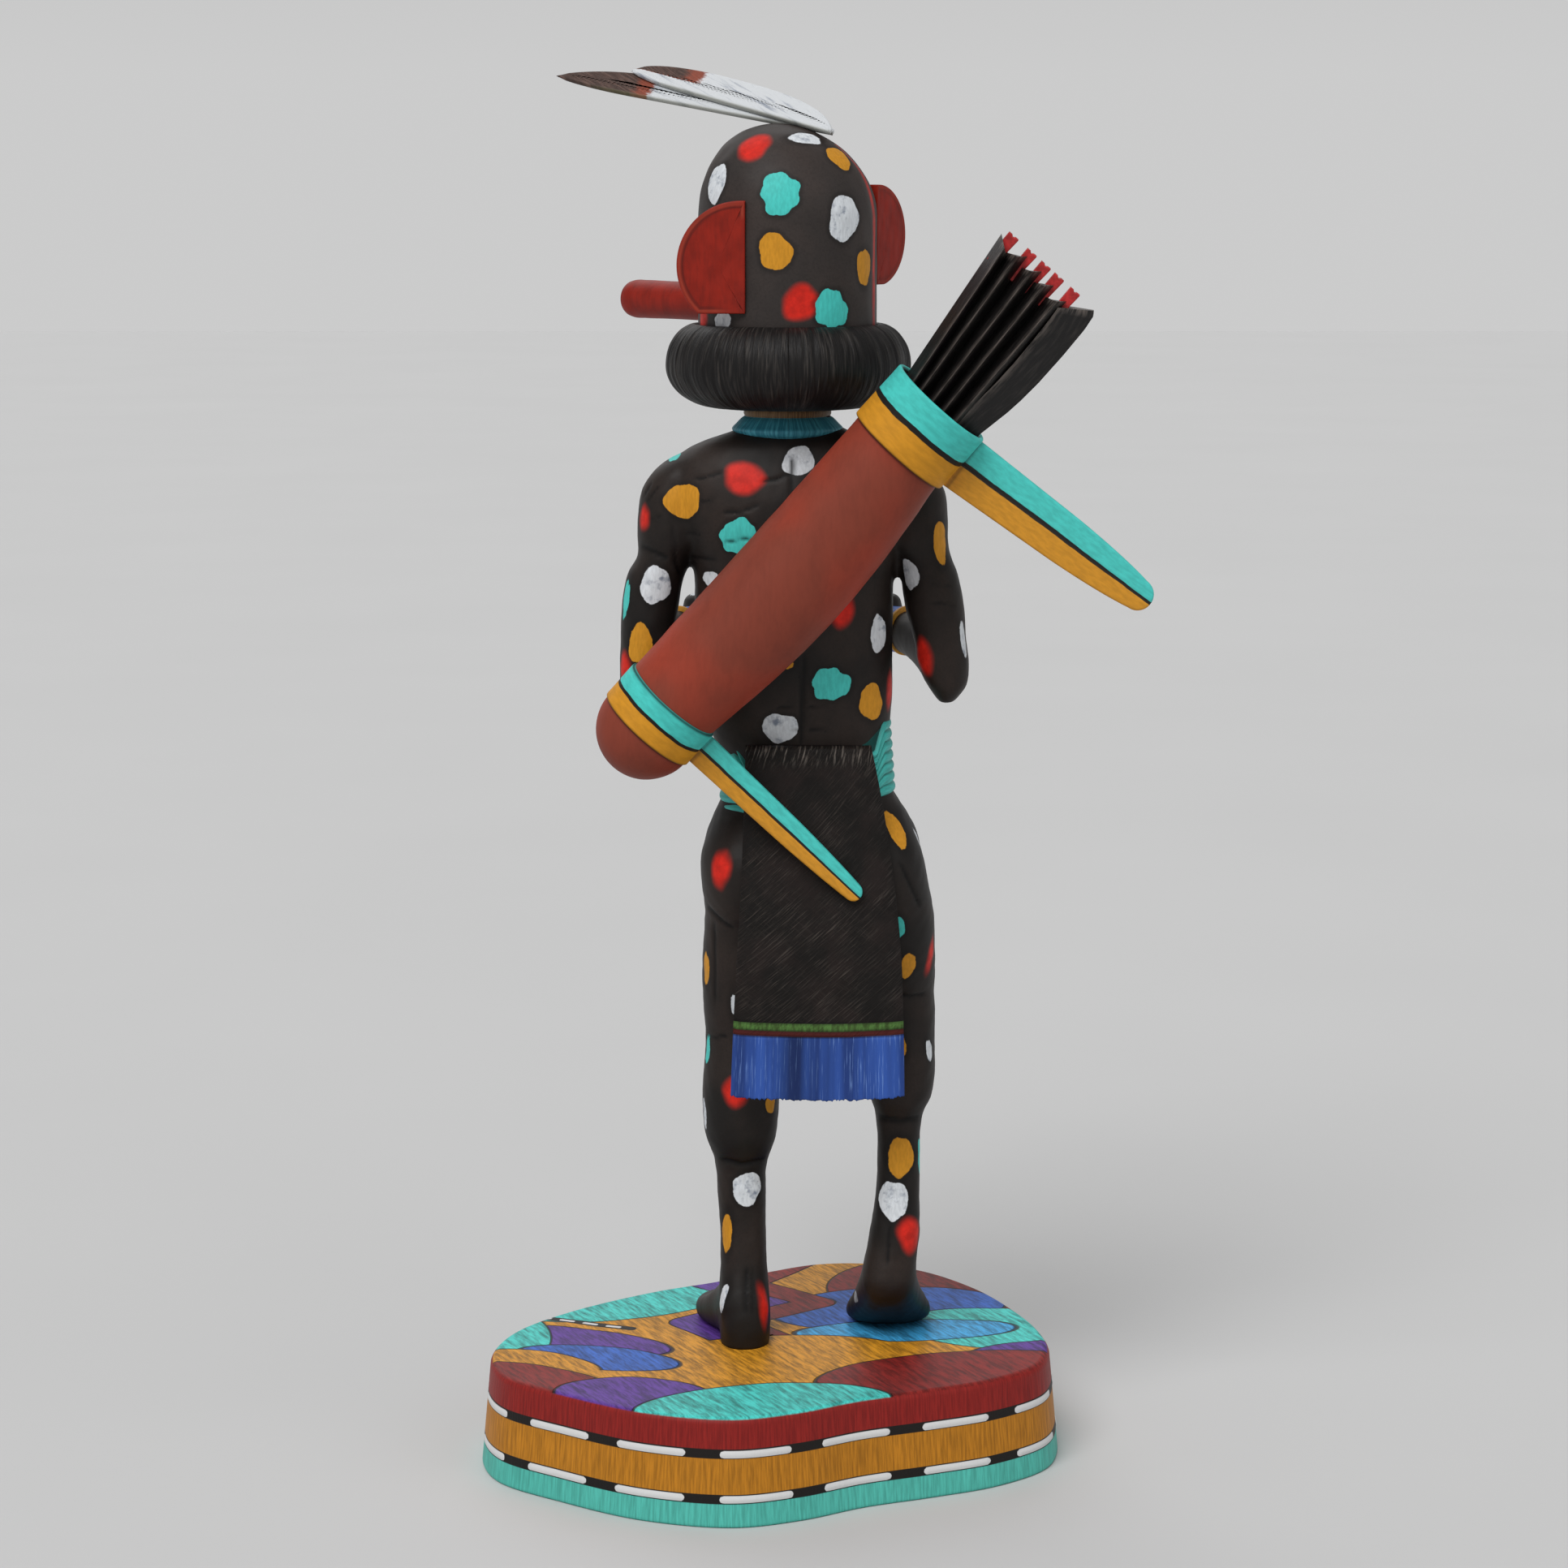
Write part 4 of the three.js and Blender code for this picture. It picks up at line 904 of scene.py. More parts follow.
TORSO = [
    (-16, 0, 153, 27, 15, 11), (-15.5, 0, 161, 36, 23, 17), (-14.5, 0, 171, 37.6, 25.5, 19),
    (-14.3, 0, 181, 36.6, 24.5, 20), (-13.9, 0, 188, 33.4, 22, 20), (-13.2, 0, 195, 29.6, 20, 20),
    (-12.4, 0, 204, 27.6, 19.5, 20), (-10.3, 0, 215, 30.4, 19, 20.5), (-8.6, 0, 228, 33.4, 20, 21),
    (-8, 0, 243, 34, 21.5, 22), (-8, 0, 258, 34.2, 23.5, 23.5), (-8, 0, 273, 34.6, 25, 25.5),
    (-7.8, 0, 284, 38, 25.5, 26), (-7.7, 0, 294, 42, 25, 25), (-7.6, 0, 303, 43.5, 23, 22),
    (-7.5, 0, 311, 40, 20, 19), (-7.4, 0, 316.5, 31, 17.5, 16), (-7, 0, 320.5, 19, 14, 13),
    (-6.8, 0, 327, 12.5, 11.5, 11.5),
]
LEFT_LEG = [
    (5, 3, 188, 14, 15), (7.3, 6.5, 173, 17, 19), (7, 6.5, 163, 16.8, 19), (7, 4.4, 155, 15.9, 17.3),
    (7.6, 1.6, 149, 15.5, 16.2), (8.4, 0, 134, 15.6, 16.2), (9, 0, 119, 14.6, 15),
    (9.6, 0.2, 110, 13.3, 13.4),
    (10, 0, 104, 13, 14.2), (10.5, 0.8, 91, 13.5, 15), (10.6, 1.2, 80, 13.2, 14.6), (10.5, 1.4, 72, 12.1, 13),
    (10.4, 1.4, 66.5, 10, 10.6), (10.5, 1.2, 63, 9.1, 9.6), (10.3, 1.2, 53, 8.6, 9.2),
    (9.8, 1.8, 38, 8.1, 8.9),
    (9.6, 3, 26, 8.3, 9.6), (9.4, 5, 15, 9, 11.6), (9.2, 6, 6, 9, 12.2), (9.2, 6, -2, 8.6, 11.6),
]
RIGHT_LEG = [
    (-33, 3, 188, 14, 15), (-36.3, 6.5, 175, 16.2, 19), (-38.4, 5.5, 163, 16.5, 18.8),
    (-40, 1.5, 153, 16.8, 17.2), (-41, -2.5, 141, 16.4, 16.4), (-42, -7, 129, 15.7, 15.2),
    (-43.2, -9.5, 122, 14.3, 13.6), (-44.4, -10.5, 117, 13.5, 14), (-45.6, -9.4, 105, 12.2, 14.8),
    (-46, -7.2, 93, 11.8, 14.4), (-45.7, -5.6, 85, 10.6, 12.6), (-45.2, -4.6, 80.5, 8.6, 9.8),
    (-45.1, -3.8, 77, 8, 9), (-45, -1.4, 62, 7.6, 8.5), (-44.6, 1, 51, 7.9, 8.6), (-43.9, 2.8, 42, 9, 8.9),
    (-43, 4, 34, 9.8, 9.2), (-41.8, 4.4, 27, 9.8, 9.6),
]
LEFT_FOOT = [
    (9.2, 12, 9, 8.4, 8.5), (9.6, 6, 12, 9, 12.5), (11.6, -4, 9, 9.2, 10.4), (14.4, -13, 5.6, 10.2, 7.4),
    (16.4, -22, 3.6, 10.9, 5.4), (16.6, -31, 3, 9.6, 4.6), (16, -37.5, 2.6, 6.4, 3.6),
]
RIGHT_FOOT = [
    (-41.4, 13.4, 27.6, 7.6, 5.6), (-41.4, 9, 25, 9.6, 9.2), (-41.5, 2, 19, 10.6, 10),
    (-41.7, -6, 11.8, 12.4, 8.6), (-41.9, -12, 7, 14.6, 6.6), (-42, -18, 4, 15.4, 5),
    (-42.2, -27, 3.2, 14, 4.4), (-42.4, -35, 2.8, 10.4, 3.6),
]
LEFT_ARM = [
    (28.6, 0, 312, 4, 6), (29.6, 0, 308.5, 8.2, 10.6), (31.7, 0, 301, 12, 13.4), (33.1, 0.4, 292, 12.4, 14),
    (33.7, 0.8, 282, 12, 13.4), (35.6, 1, 278, 9.9, 12.2), (39.2, 1.4, 271.5, 9.9, 11.8),
    (41.3, 2, 261, 9.8, 11.6), (42.4, 3, 248, 9.3, 11.4), (42.8, 4, 238, 9.1, 10.6),
    (43.8, 4.6, 231, 7.4, 8.8),
    (44.2, 4.4, 227, 3.6, 4.8),
]
RIGHT_ARM = [
    (-43.8, 0, 312, 4, 6), (-44.9, 0, 308.5, 8.2, 10.6), (-47.2, 0, 301, 12, 13.4),
    (-48.4, 0.4, 292, 12.4, 14),
    (-49.2, 0.8, 283, 11.8, 13.4), (-51.8, 1, 278.5, 9.8, 12.2), (-54.2, 1.4, 272, 9.9, 11.8),
    (-56.3, 2, 261, 10.2, 11.8), (-58.4, 3, 248, 9, 11.4), (-59.6, 4, 240, 8.8, 10.6),
    (-60.8, 4.6, 232, 6.2, 8.8),
    (-60.6, 4.4, 227, 2.4, 4.8),
]
LEFT_FOREARM = [(43.5, 3, 238), (42, -24, 247), (26, -44, 247)]
RIGHT_FOREARM = [(-60, 3, 238), (-58.5, -24, 247), (-41.6, -44, 247)]
LEFT_FIST = (24.6, -50, 249)
RIGHT_FIST = (-40, -50, 249)
FOREARM_SHARES = [(0, 7.6, 8.4), (0.25, 8.6, 9), (0.5, 8.4, 8.6), (0.78, 7.4, 7.6), (1, 6.8, 7)]
HEEL_MIDDLE = np.array([-41.5, 8, 30])
HEEL_REACH = np.array([18, 12, 14])
# Pixel rows over which the right heel darkens to black: the sole's black paint with painted shade under the
# raised heel.
DARK_HEEL_TOP_PIXEL = 1572
DARK_HEEL_PIXELS = 45
TORSO_GRAIN = 1.1
LEGS_GRAIN = 1.15
WAIST = 205.0
WAIST_OVERLAP = 9.0

# Spots that the photograph shows: colour, centre in pixels, width and height in pixels
HEAD_SPOTS = [
    ("red", 1077, 300, 6, 185),
    ("red", 929, 180, 36, 36), ("white", 993, 170, 42, 20), ("ochre", 1034, 194, 30, 34),
    ("white", 882, 225, 27, 50), ("teal", 961, 238, 50, 50), ("white", 1041, 269, 42, 54),
    ("ochre", 955, 310, 40, 47), ("ochre", 1065, 329, 22, 46), ("red", 987, 373, 42, 42),
    ("teal", 1025, 381, 42, 48), ("white", 890, 394, 24, 22), ("red", 866, 392, 18, 30),
    ("red", 1074, 230, 16, 40),
]
BACK_SPOTS = [
    ("teal", 831, 562, 28, 18), ("red", 917, 589, 45, 40), ("ochre", 843, 617, 42, 44),
    ("white", 984, 568, 40, 36),
    ("teal", 909, 661, 45, 43), ("red", 793, 638, 13, 26), ("white", 876, 714, 26, 20),
    ("white", 808, 721, 36, 48),
    ("teal", 771, 738, 12, 50), ("ochre", 788, 793, 30, 48), ("red", 769, 822, 16, 34),
    ("red", 1037, 754, 28, 36),
    ("white", 1083, 781, 22, 48), ("teal", 1024, 843, 46, 42), ("ochre", 1074, 865, 32, 45),
    ("white", 961, 897, 42, 38), ("ochre", 972, 819, 12, 12), ("red", 1097, 850, 14, 40),
    ("white", 1121, 708, 20, 40),
    ("ochre", 1159, 668, 20, 50), ("white", 1187, 788, 12, 45), ("red", 1137, 810, 22, 40),
]
LEG_SPOTS = [
    ("ochre", 1104, 1022, 22, 52), ("white", 1133, 1040, 9, 40), ("ochre", 870, 1022, 14, 40),
    ("red", 887, 1071, 22, 42), ("teal", 1106, 1143, 18, 30), ("ochre", 1119, 1190, 20, 32),
    ("red", 1147, 1177, 10, 34),
    ("ochre", 870, 1193, 12, 42), ("white", 905, 1238, 10, 26), ("teal", 872, 1293, 10, 38),
    ("white", 1145, 1294, 10, 28), ("ochre", 1112, 1291, 10, 22), ("red", 907, 1345, 28, 36),
    ("ochre", 950, 1360, 16, 22), ("white", 868, 1372, 10, 40), ("white", 921, 1465, 34, 43),
    ("ochre", 895, 1519, 14, 50), ("white", 890, 1600, 12, 34), ("red", 943, 1610, 12, 42),
    ("ochre", 1110, 1426, 30, 52), ("teal", 1133, 1424, 12, 44), ("white", 1100, 1479, 35, 50),
    ("red", 1123, 1522, 26, 42), ("white", 1046, 1598, 6, 18),
]

# Spots on the side that it doesn't show: colour, x, height above the ground, side that it faces, width
HEAD_FRONT_SPOTS = [
    ("ochre", 12, 440, -1, 12), ("white", -20, 436, -1, 12), ("teal", -6, 452, -1, 11),
    ("red", 8, 388, -1, 12),
    ("white", -26, 404, -1, 11), ("ochre", -22, 378, -1, 12), ("teal", -30, 420, -1, 10),
    ("red", -12, 418, -1, 12),
]
CHEST_SPOTS = [
    ("red", -24, 322, -1, 13), ("teal", 12, 318, -1, 13), ("ochre", -8, 300, -1, 13),
    ("white", 20, 296, -1, 12),
    ("teal", -34, 300, -1, 12), ("white", -26, 278, -1, 12), ("red", 4, 276, -1, 13),
    ("ochre", 34, 322, -1, 12),
    ("white", -50, 326, -1, 12), ("teal", 44, 300, -1, 11), ("ochre", -58, 300, -1, 12),
    ("red", 46, 272, -1, 11),
]
LEG_FRONT_SPOTS = [
    ("white", 10, 120, -1, 11), ("ochre", 10, 96, -1, 10), ("teal", 11, 74, -1, 10), ("red", 12, 56, -1, 9),
    ("teal", -46, 122, -1, 11), ("white", -46, 98, -1, 10), ("red", -45, 80, -1, 9),
    ("ochre", -44, 62, -1, 9),
    ("white", -30, 50, 1, 4),
]

# Carved lines that the photograph shows: path in pixels, half width in pixels, depth in millimetres
BACK_LINES = [
    ([(975.8, 562), (977.5, 640)], 1.5, 0.8), ([(980, 562), (982, 640)], 1.2, 0.45),
    ([(984.5, 800), (988.5, 925)], 1.5, 0.8), ([(991, 800), (993, 925)], 1.2, 0.45),
    ([(852, 591), (870, 588), (890, 581.5)], 1.5, 0.55), ([(938, 594), (955, 591), (974, 584)], 1.5, 0.55),
    ([(862, 617), (882, 616)], 1.5, 0.5), ([(890, 631), (914, 630), (936, 622)], 1.6, 0.6),
    ([(889, 669), (927, 662)], 1.4, 0.45), ([(846, 655), (864, 660)], 1.4, 0.35),
    ([(850, 685), (885, 691)], 1.5, 0.4), ([(957, 872), (979, 870)], 1.4, 0.5),
    ([(994, 872), (1021, 869)], 1.4, 0.5),
    ([(974, 901), (986, 900)], 1.4, 0.4), ([(995, 899), (1022, 901)], 1.4, 0.45),
    ([(788, 671), (806, 680), (824, 689)], 2.2, 0.7), ([(829, 645), (831, 690), (839, 712)], 1.8, 0.5),
    ([(793, 612), (803, 594)], 1.4, 0.4), ([(797, 618), (812, 598)], 1.4, 0.35),
    ([(801, 575), (812, 566)], 1.2, 0.3),
    ([(1143, 741), (1178, 746)], 1.5, 0.3), ([(1146, 720), (1172, 722)], 1.3, 0.25),
    ([(800, 640), (815, 636)], 1.3, 0.3),
]
LEG_LINES = [
    ([(870, 1115), (890, 1136), (906, 1145)], 2.0, 0.6),
    ([(1108, 1060), (1124, 1095), (1135, 1120)], 2.0, 0.6),
    ([(880, 1130), (881, 1240)], 1.8, 0.45), ([(866, 1275), (880, 1278), (897, 1276)], 2.0, 0.6),
    ([(1104, 1225), (1120, 1228), (1142, 1225)], 2.0, 0.6),
    ([(885, 1428), (915, 1434), (945, 1428)], 2.4, 0.8),
    ([(1080, 1376), (1110, 1381), (1138, 1376)], 2.4, 0.8), ([(920, 1560), (918, 1622)], 2.0, 0.5),
    ([(926, 1560), (927, 1622)], 1.6, 0.3), ([(1097, 1505), (1093, 1560)], 2.0, 0.45),
]

# Carved lines of the front: path as x and height above the ground in millimetres, half width, depth
CHEST_LINES = [
    ([(-8, 352), (-8, 268)], 0.6, 0.6), ([(-42, 318), (-26, 311), (-10, 314)], 0.6, 0.5),
    ([(-6, 314), (10, 311), (26, 318)], 0.6, 0.5),
]
KNEE_LINES = [([(2, 110), (10, 107), (18, 110)], 0.6, 0.5), ([(-53, 126), (-45, 123), (-37, 126)], 0.6, 0.5)]


def bezier(points, shares):
    """Points of a curve that is drawn by its three or four control points."""
    t = np.asarray(shares, float)[:, None]
    p = [np.asarray(q, float) for q in points]
    if len(p) == 3:
        return (1 - t)**2 * p[0] + 2 * t * (1 - t) * p[1] + t**2 * p[2]
    return (1 - t)**3 * p[0] + 3 * t * (1 - t)**2 * p[1] + 3 * t**2 * (1 - t) * p[2] + t**3 * p[3]


def forearm(path):
    """Rings along the curve from the elbow to the wrist."""
    sizes = np.array(FOREARM_SHARES)
    return limb(np.column_stack([bezier(path, sizes[:, 0]), sizes[:, 1:]]), 2.0)


def fist(place):
    """A closed fist, upright, with its four fingers as ridges."""
    x, y, z = place
    share = np.linspace(0, 1, 48)
    finger = np.abs(np.sin(4 * math.pi * share))**0.6
    bulge = 0.68 + 0.28 * np.sin(math.pi * share) + 0.10 * finger
    rows = np.column_stack([
        np.full(48, x), np.full(48, y), z - 9.5 + 19 * share, 7.4 * bulge, 8.8 * bulge])
    c, s = section(56, 2.6)
    return np.stack([rows[:, :1] + rows[:, 3:4] * c, rows[:, 1:2] + rows[:, 4:5] * s,
                     np.repeat(rows[:, 2:3], 56, 1)], -1)


def thumb(place, side):
    """A thumb laid over the top of the fist, on the side towards the middle of the body."""
    x, y, z = place
    return limb([(x + side * 6, y + 5, z + 3, 2.2, 2.4), (x + side * 5.5, y, z + 8, 2.5, 2.6),
                 (x + side * 3, y - 5.5, z + 9, 2.4, 2.4), (x + side * 1, y - 8.5, z + 7.5, 1.4, 1.5)], 2.0)


def carved_depth(points, normals, photo_lines, front_lines):
    """How deep each point lies in the incised lines of both sides."""
    depth = np.zeros(len(points))
    views = (
        (photo_lines, pixels(points), normals @ unit_vector(CAMERA - points.mean(0)) > 0.12),
        (front_lines, points[:, [0, 2]], normals[:, 1] < -0.3),
    )
    for lines, places, seen in views:
        for path, half_width, deepest in lines:
            away, share = distance_to_path(places[seen], path)
            fade = np.clip(np.minimum(share, 1 - share) * 8, 0.15, 1)
            depth[seen] = np.maximum(depth[seen], deepest * fade * np.exp(-(away / half_width)**2))
    return depth


def body_piece(name, shells, voxel, lines, front_lines, spots, front_spots, seed, material):
    """Joins the forms of one half of the body, carves its lines and marks its spots."""
    points, faces = joined(name, shells, voxel, 4)
    ankle = np.exp(-((points - HEEL_MIDDLE) / HEEL_REACH)**2).prod(1)[:, None]
    points = raised(softened(points, faces, 60, 0.6 * np.clip(ankle * 1.5, 0, 1)))
    points[:, 2] = np.maximum(points[:, 2], BASE_TOP - 0.1)
    normals = normals_of(points, faces)
    depth = carved_depth(points, normals, lines, front_lines)
    marks = spot_marks(points, normals, faces, spots, front_spots, seed)
    points = points - normals * depth[:, None]
    points += normals * (0.05 * ripple(points, 5, seed))[:, None] * (points[:, 2:] > BASE_TOP + 1)
    # Painted shade for the carved lines, darkest where they are deepest.
    marks["carved"] = np.clip(depth / 0.4, 0, 1)
    # The right heel darkens to black downward: the sole's black paint and painted shade under the raised
    # heel.
    heel_v = pixels(points)[:, 1]
    on_heel = (points[:, 0] < -20) & (normals[:, 1] > -0.2) & (points[:, 2] < BASE_TOP + 40)
    marks["soot"] = np.clip((heel_v - DARK_HEEL_TOP_PIXEL) / DARK_HEEL_PIXELS, 0, 1)**1.3 * on_heel * 0.95
    mesh = new_mesh(name, points, faces.tolist())
    add_marks(mesh, marks)
    piece(name, "figure", mesh, material)


def make_body(material):
    torso = np.asarray(TORSO, float)
    whole = column(torso, 2.35, 96)
    levels = whole[:, 0, 2]
    upper = [shell(whole[levels > WAIST - WAIST_OVERLAP])]
    for arm, path, hand, side in (
            (LEFT_ARM, LEFT_FOREARM, LEFT_FIST, -1), (RIGHT_ARM, RIGHT_FOREARM, RIGHT_FIST, 1)):
        upper += [shell(rings) for rings in (column(arm), forearm(path), fist(hand), thumb(hand, side))]
    body_piece("torso_and_arms", upper, TORSO_GRAIN, BACK_LINES, CHEST_LINES, BACK_SPOTS, CHEST_SPOTS, 11,
               material)
    lower = [shell(whole[levels < WAIST + WAIST_OVERLAP])]
    lower += [shell(column(leg)) for leg in (LEFT_LEG, RIGHT_LEG)]
    lower += [shell(limb(foot, 2.5)) for foot in (LEFT_FOOT, RIGHT_FOOT)]
    body_piece("legs_and_feet", lower, LEGS_GRAIN, LEG_LINES, KNEE_LINES, LEG_SPOTS, LEG_FRONT_SPOTS, 12,
               material)


def round_axis(radii, heights, columns, leans=0.0):
    """Rings about the head's axis, from +Y towards +X, in heights above the ground."""
    angle = np.linspace(0, 2 * math.pi, columns, endpoint=False)
    radii, heights = np.asarray(radii, float), np.asarray(heights, float)
    if radii.ndim == 1:
        radii = radii[:, None]
    leans = np.broadcast_to(leans, heights.shape)[:, None]
    x = NECK_AXIS_X + leans + radii * np.sin(angle)
    y = np.broadcast_to(radii * np.cos(angle), x.shape)
    return raised(np.stack([x, y, np.broadcast_to(heights[:, None], x.shape)], -1)), angle


def along_path(profile, spacing):
    """Evenly spaced points of a smooth open profile."""
    flat = np.column_stack([profile, np.zeros(len(profile))])
    return smooth_rows(flat, spacing)[:, :2]


HEAD_COLUMNS = 220
WALL_ROWS = 66
EYE_TURN = math.radians(28)
EYE_HEIGHT = 377
EYE_HALF_WIDTH = 4.2
EYE_HALF_HEIGHT = 2.4


def make_head(material):
    wall = np.linspace(HEAD_FOOT, DOME_START, WALL_ROWS, endpoint=False)
    angle = np.linspace(0, math.radians(89.2), 74)
    radii = np.concatenate([np.full(WALL_ROWS, HEAD_RADIUS), HEAD_RADIUS * np.cos(angle)])
    heights = np.concatenate([wall, DOME_START + DOME_RISE * np.sin(angle)])
    leans = np.concatenate([np.zeros(WALL_ROWS), CROWN_LEAN * np.sin(angle)**2])
    rings, around_head = round_axis(radii, heights, HEAD_COLUMNS, leans)
    points = rings.reshape(-1, 3)
    faces = quads(*rings.shape[:2])
    faces = outward_quads(points, faces)
    normals = normals_of(points, faces)
    marks = spot_marks(points, normals, faces, HEAD_SPOTS, HEAD_FRONT_SPOTS, 14)
    points = points + normals * (0.09 * ripple(points, 9, 3))[:, None]
    height = points[:, 2] - SOLE
    turn = np.tile(around_head, len(heights))
    eye = np.zeros(len(points))
    for side in (-1, 1):
        off = np.angle(np.exp(1j * (turn - FACE_ANGLE - side * EYE_TURN))) * HEAD_RADIUS
        away = np.hypot(off / EYE_HALF_WIDTH, (height - EYE_HEIGHT) / EYE_HALF_HEIGHT)
        eye = np.maximum(eye, np.clip(1.5 * (1 - away), 0, 1))
    marks.update(soot=np.clip(eye * 4, 0, 1), carved=np.zeros(len(points)))
    points = points - normals * (0.7 * np.clip(eye * 3, 0, 1))[:, None]
    marks = {key: value.reshape(rings.shape[:2]) for key, value in marks.items()}
    grid_piece("head", "figure", points.reshape(rings.shape), material, marks=marks)


def strands(rows, columns, seed, controls=7, softness=1):
    """Random ridges along the rows of a grid, which change slowly from end to end, about -1 to 1."""
    chance = np.random.default_rng(seed)
    table = chance.normal(size=(controls, columns))
    for _ in range(softness):
        table = 0.25 * np.roll(table, 1, 1) + 0.5 * table + 0.25 * np.roll(table, -1, 1)
    table /= table.std()
    at = np.linspace(0, controls - 1, rows)
    low = np.clip(at.astype(int), 0, controls - 2)
    share = (at - low)[:, None]
    return np.clip(table[low] * (1 - share) + table[low + 1] * share, -2, 2) / 2


def make_ruff(material):
    profile = along_path([(r, RUFF_BOTTOM + share * RUFF_HEIGHT) for r, share in RUFF_PROFILE], 0.72)
    columns = RUFF_COLUMNS
    ridges = strands(len(profile), columns, 21, controls=5, softness=1)
    locks = strands(len(profile), columns, 22, controls=4, softness=60)
    radii = profile[:, :1] + 0.30 * ridges + 0.35 * locks
    rings, angle = round_axis(radii, profile[:, 1], columns)
    arc = np.concatenate([[0], np.cumsum(np.linalg.norm(np.diff(profile, axis=0), axis=1))])
    places = np.stack(np.meshgrid(angle * HEAD_RADIUS, arc), -1)
    grid_piece("ruff", "figure", rings, material, capped=False, places=places)


def make_collar(material):
    profile = along_path(COLLAR_PROFILE, 0.4)
    rings, angle = round_axis(profile[:, 0], profile[:, 1], COLLAR_COLUMNS)
    grooves = strands(len(profile), COLLAR_COLUMNS, 23, controls=3)
    middle = np.array([NECK_AXIS_X, 0])
    rings[..., :2] = middle + (rings[..., :2] - middle) * (1 + 0.006 * grooves)[..., None]
    places = np.stack(np.meshgrid(angle * 17, profile[:, 1] - COLLAR_FOOT), -1)
    grid_piece("collar", "figure", rings, material, places=places)


# Belt, aprons and cuffs

BELT_MIDDLE = -12.6
BELT_HALF_WIDTH = 29.4
BELT_HALF_DEPTH = 20.4
BELT_BOTTOM = 192.0
BELT_HEIGHT = 26.0
BELT_SLANT = -0.12
BELT_PLEATS = 7
BELT_DIP = 9.5
BACK_APRON = [
    (214.2, 8.5, -34.4, 24.8), (196, 9, -38, 26.6), (166, 10.2, -42.5, 29.6), (143, 11.5, -44.7, 31.5),
    (118, 12.8, -45.6, 32), (109, 13.2, -45.8, 32), (94, 13.8, -46, 32.2),
]
FRONT_APRON = [
    (214, 6, -31, 23.5), (196, 7, -33, 25.5), (166, 8, -36, 26.5), (141, 9, -38, 27.5),
    (120, 10, -39.5, 28), (112, 10.3, -39.8, 28), (99, 10.8, -40.2, 28.2),
]
APRON_THICKNESS = 4.8
APRON_COLUMNS = 124
APRON_LINING_COLUMNS = 14
APRON_SAG = 1.4
CUFF_LENGTH = 11.0
CUFF_RADIUS = 8.8


def make_belt(material):
    rows, columns = 110, 220
    share = np.linspace(0, 1, rows)[:, None]
    c, s = section(columns, 2.3)
    pleat = np.abs(np.sin(math.pi * BELT_PLEATS * share))**0.7
    ends = np.clip(np.minimum(share, 1 - share) / 0.03, 0, 1)**0.5
    proud = 0.2 + 1.2 * pleat * ends
    width = BELT_HALF_WIDTH - 1.8 * share
    x, y = width * c, np.broadcast_to(BELT_HALF_DEPTH * s, (rows, columns))
    reach = np.hypot(x, y)
    behind = np.clip((s - 0.25) / 0.4, 0, 1)
    under_apron = behind * np.clip((x + 26) / 3, 0, 1) * np.clip((24 - x) / 4, 0, 1)
    z = BELT_BOTTOM + BELT_HEIGHT * share + BELT_SLANT * x - BELT_DIP * share * under_apron
    rings = raised(np.stack([BELT_MIDDLE + x * (1 + proud / reach), y * (1 + proud / reach), z], -1))
    angle = np.linspace(0, 2 * math.pi * 26, columns, endpoint=False)
    places = np.stack(np.broadcast_arrays(angle, BELT_HEIGHT * share), -1)
    # The mark is painted shade in the hollows between the pleats.
    grid_piece("belt", "figure", rings, material, places=places, marks={
        "carved": 1 - np.clip(pleat * 2.4, 0, 1)})


def make_apron(name, stations, facing, seed, material):
    """A hanging cloth with a fringe; its rings run round its outside and back along its inside.
    Stations are height, left and right edge, and how far out the cloth is."""
    rows = smooth_rows([(y, 0, z, left, right) for z, left, right, y in stations], 0.55)
    y, z, left, right = rows[:, :1], rows[:, 2:3], rows[:, 3:4], rows[:, 4:5]
    outer, inner = APRON_COLUMNS, APRON_LINING_COLUMNS
    across = np.concatenate([np.linspace(0, 1, outer), np.linspace(1, 0, inner)])
    outside = np.arange(outer + inner) < outer
    level = z - z[-1]
    fringe = np.clip((FRINGE_TOP + 0.5 - level) / 1.5, 0, 1)
    folds = strands(len(rows), outer + inner, seed, controls=3, softness=60)
    threads = strands(len(rows), outer + inner, seed + 1, controls=4, softness=0)
    flat = np.stack(np.broadcast_arrays(across * 50, level, 0.0), -1)
    cloth = ripple(flat.reshape(-1, 3), 17, seed).reshape(len(rows), -1)
    relief = fringe * (0.6 * folds + 0.2 * threads) + (1 - fringe) * 0.16 * cloth
    groove = np.zeros((len(rows), 1))
    for height in (GREEN_TOP, GREEN_FOOT, FRINGE_TOP):
        groove = np.maximum(groove, np.exp(-((level - height) / 0.35)**2))
    side = 2 * across - 1
    tuck = 1.7 * np.abs(side)**14 + 1.2 * np.clip(1 - (level[0] - level) / 1.2, 0, 1)**2
    outer_y = y + relief - 0.3 * groove - tuck
    inner_y = y - APRON_THICKNESS
    sag = APRON_SAG * np.sin(math.pi * across) * np.clip(1 - level / 60, 0, 1)
    tips = fringe**2 * 0.45 * threads * np.clip(1 - level / 3, 0, 1)
    rings = np.stack(np.broadcast_arrays(
        left + (right - left) * across, facing * np.where(outside, outer_y, inner_y), z - sag - tips), -1)
    places = np.stack(np.broadcast_arrays(across * 58, level), -1)
    # The mark is painted shade in the grooves between the bands and in the fringe's fold hollows.
    marks = {"level": level, "carved": groove * 0.9 + 0.55 * fringe * np.clip(-folds * 1.6 - 0.35, 0, 1)}
    grid_piece(name, "figure", raised(rings), material, places=places, marks=marks)


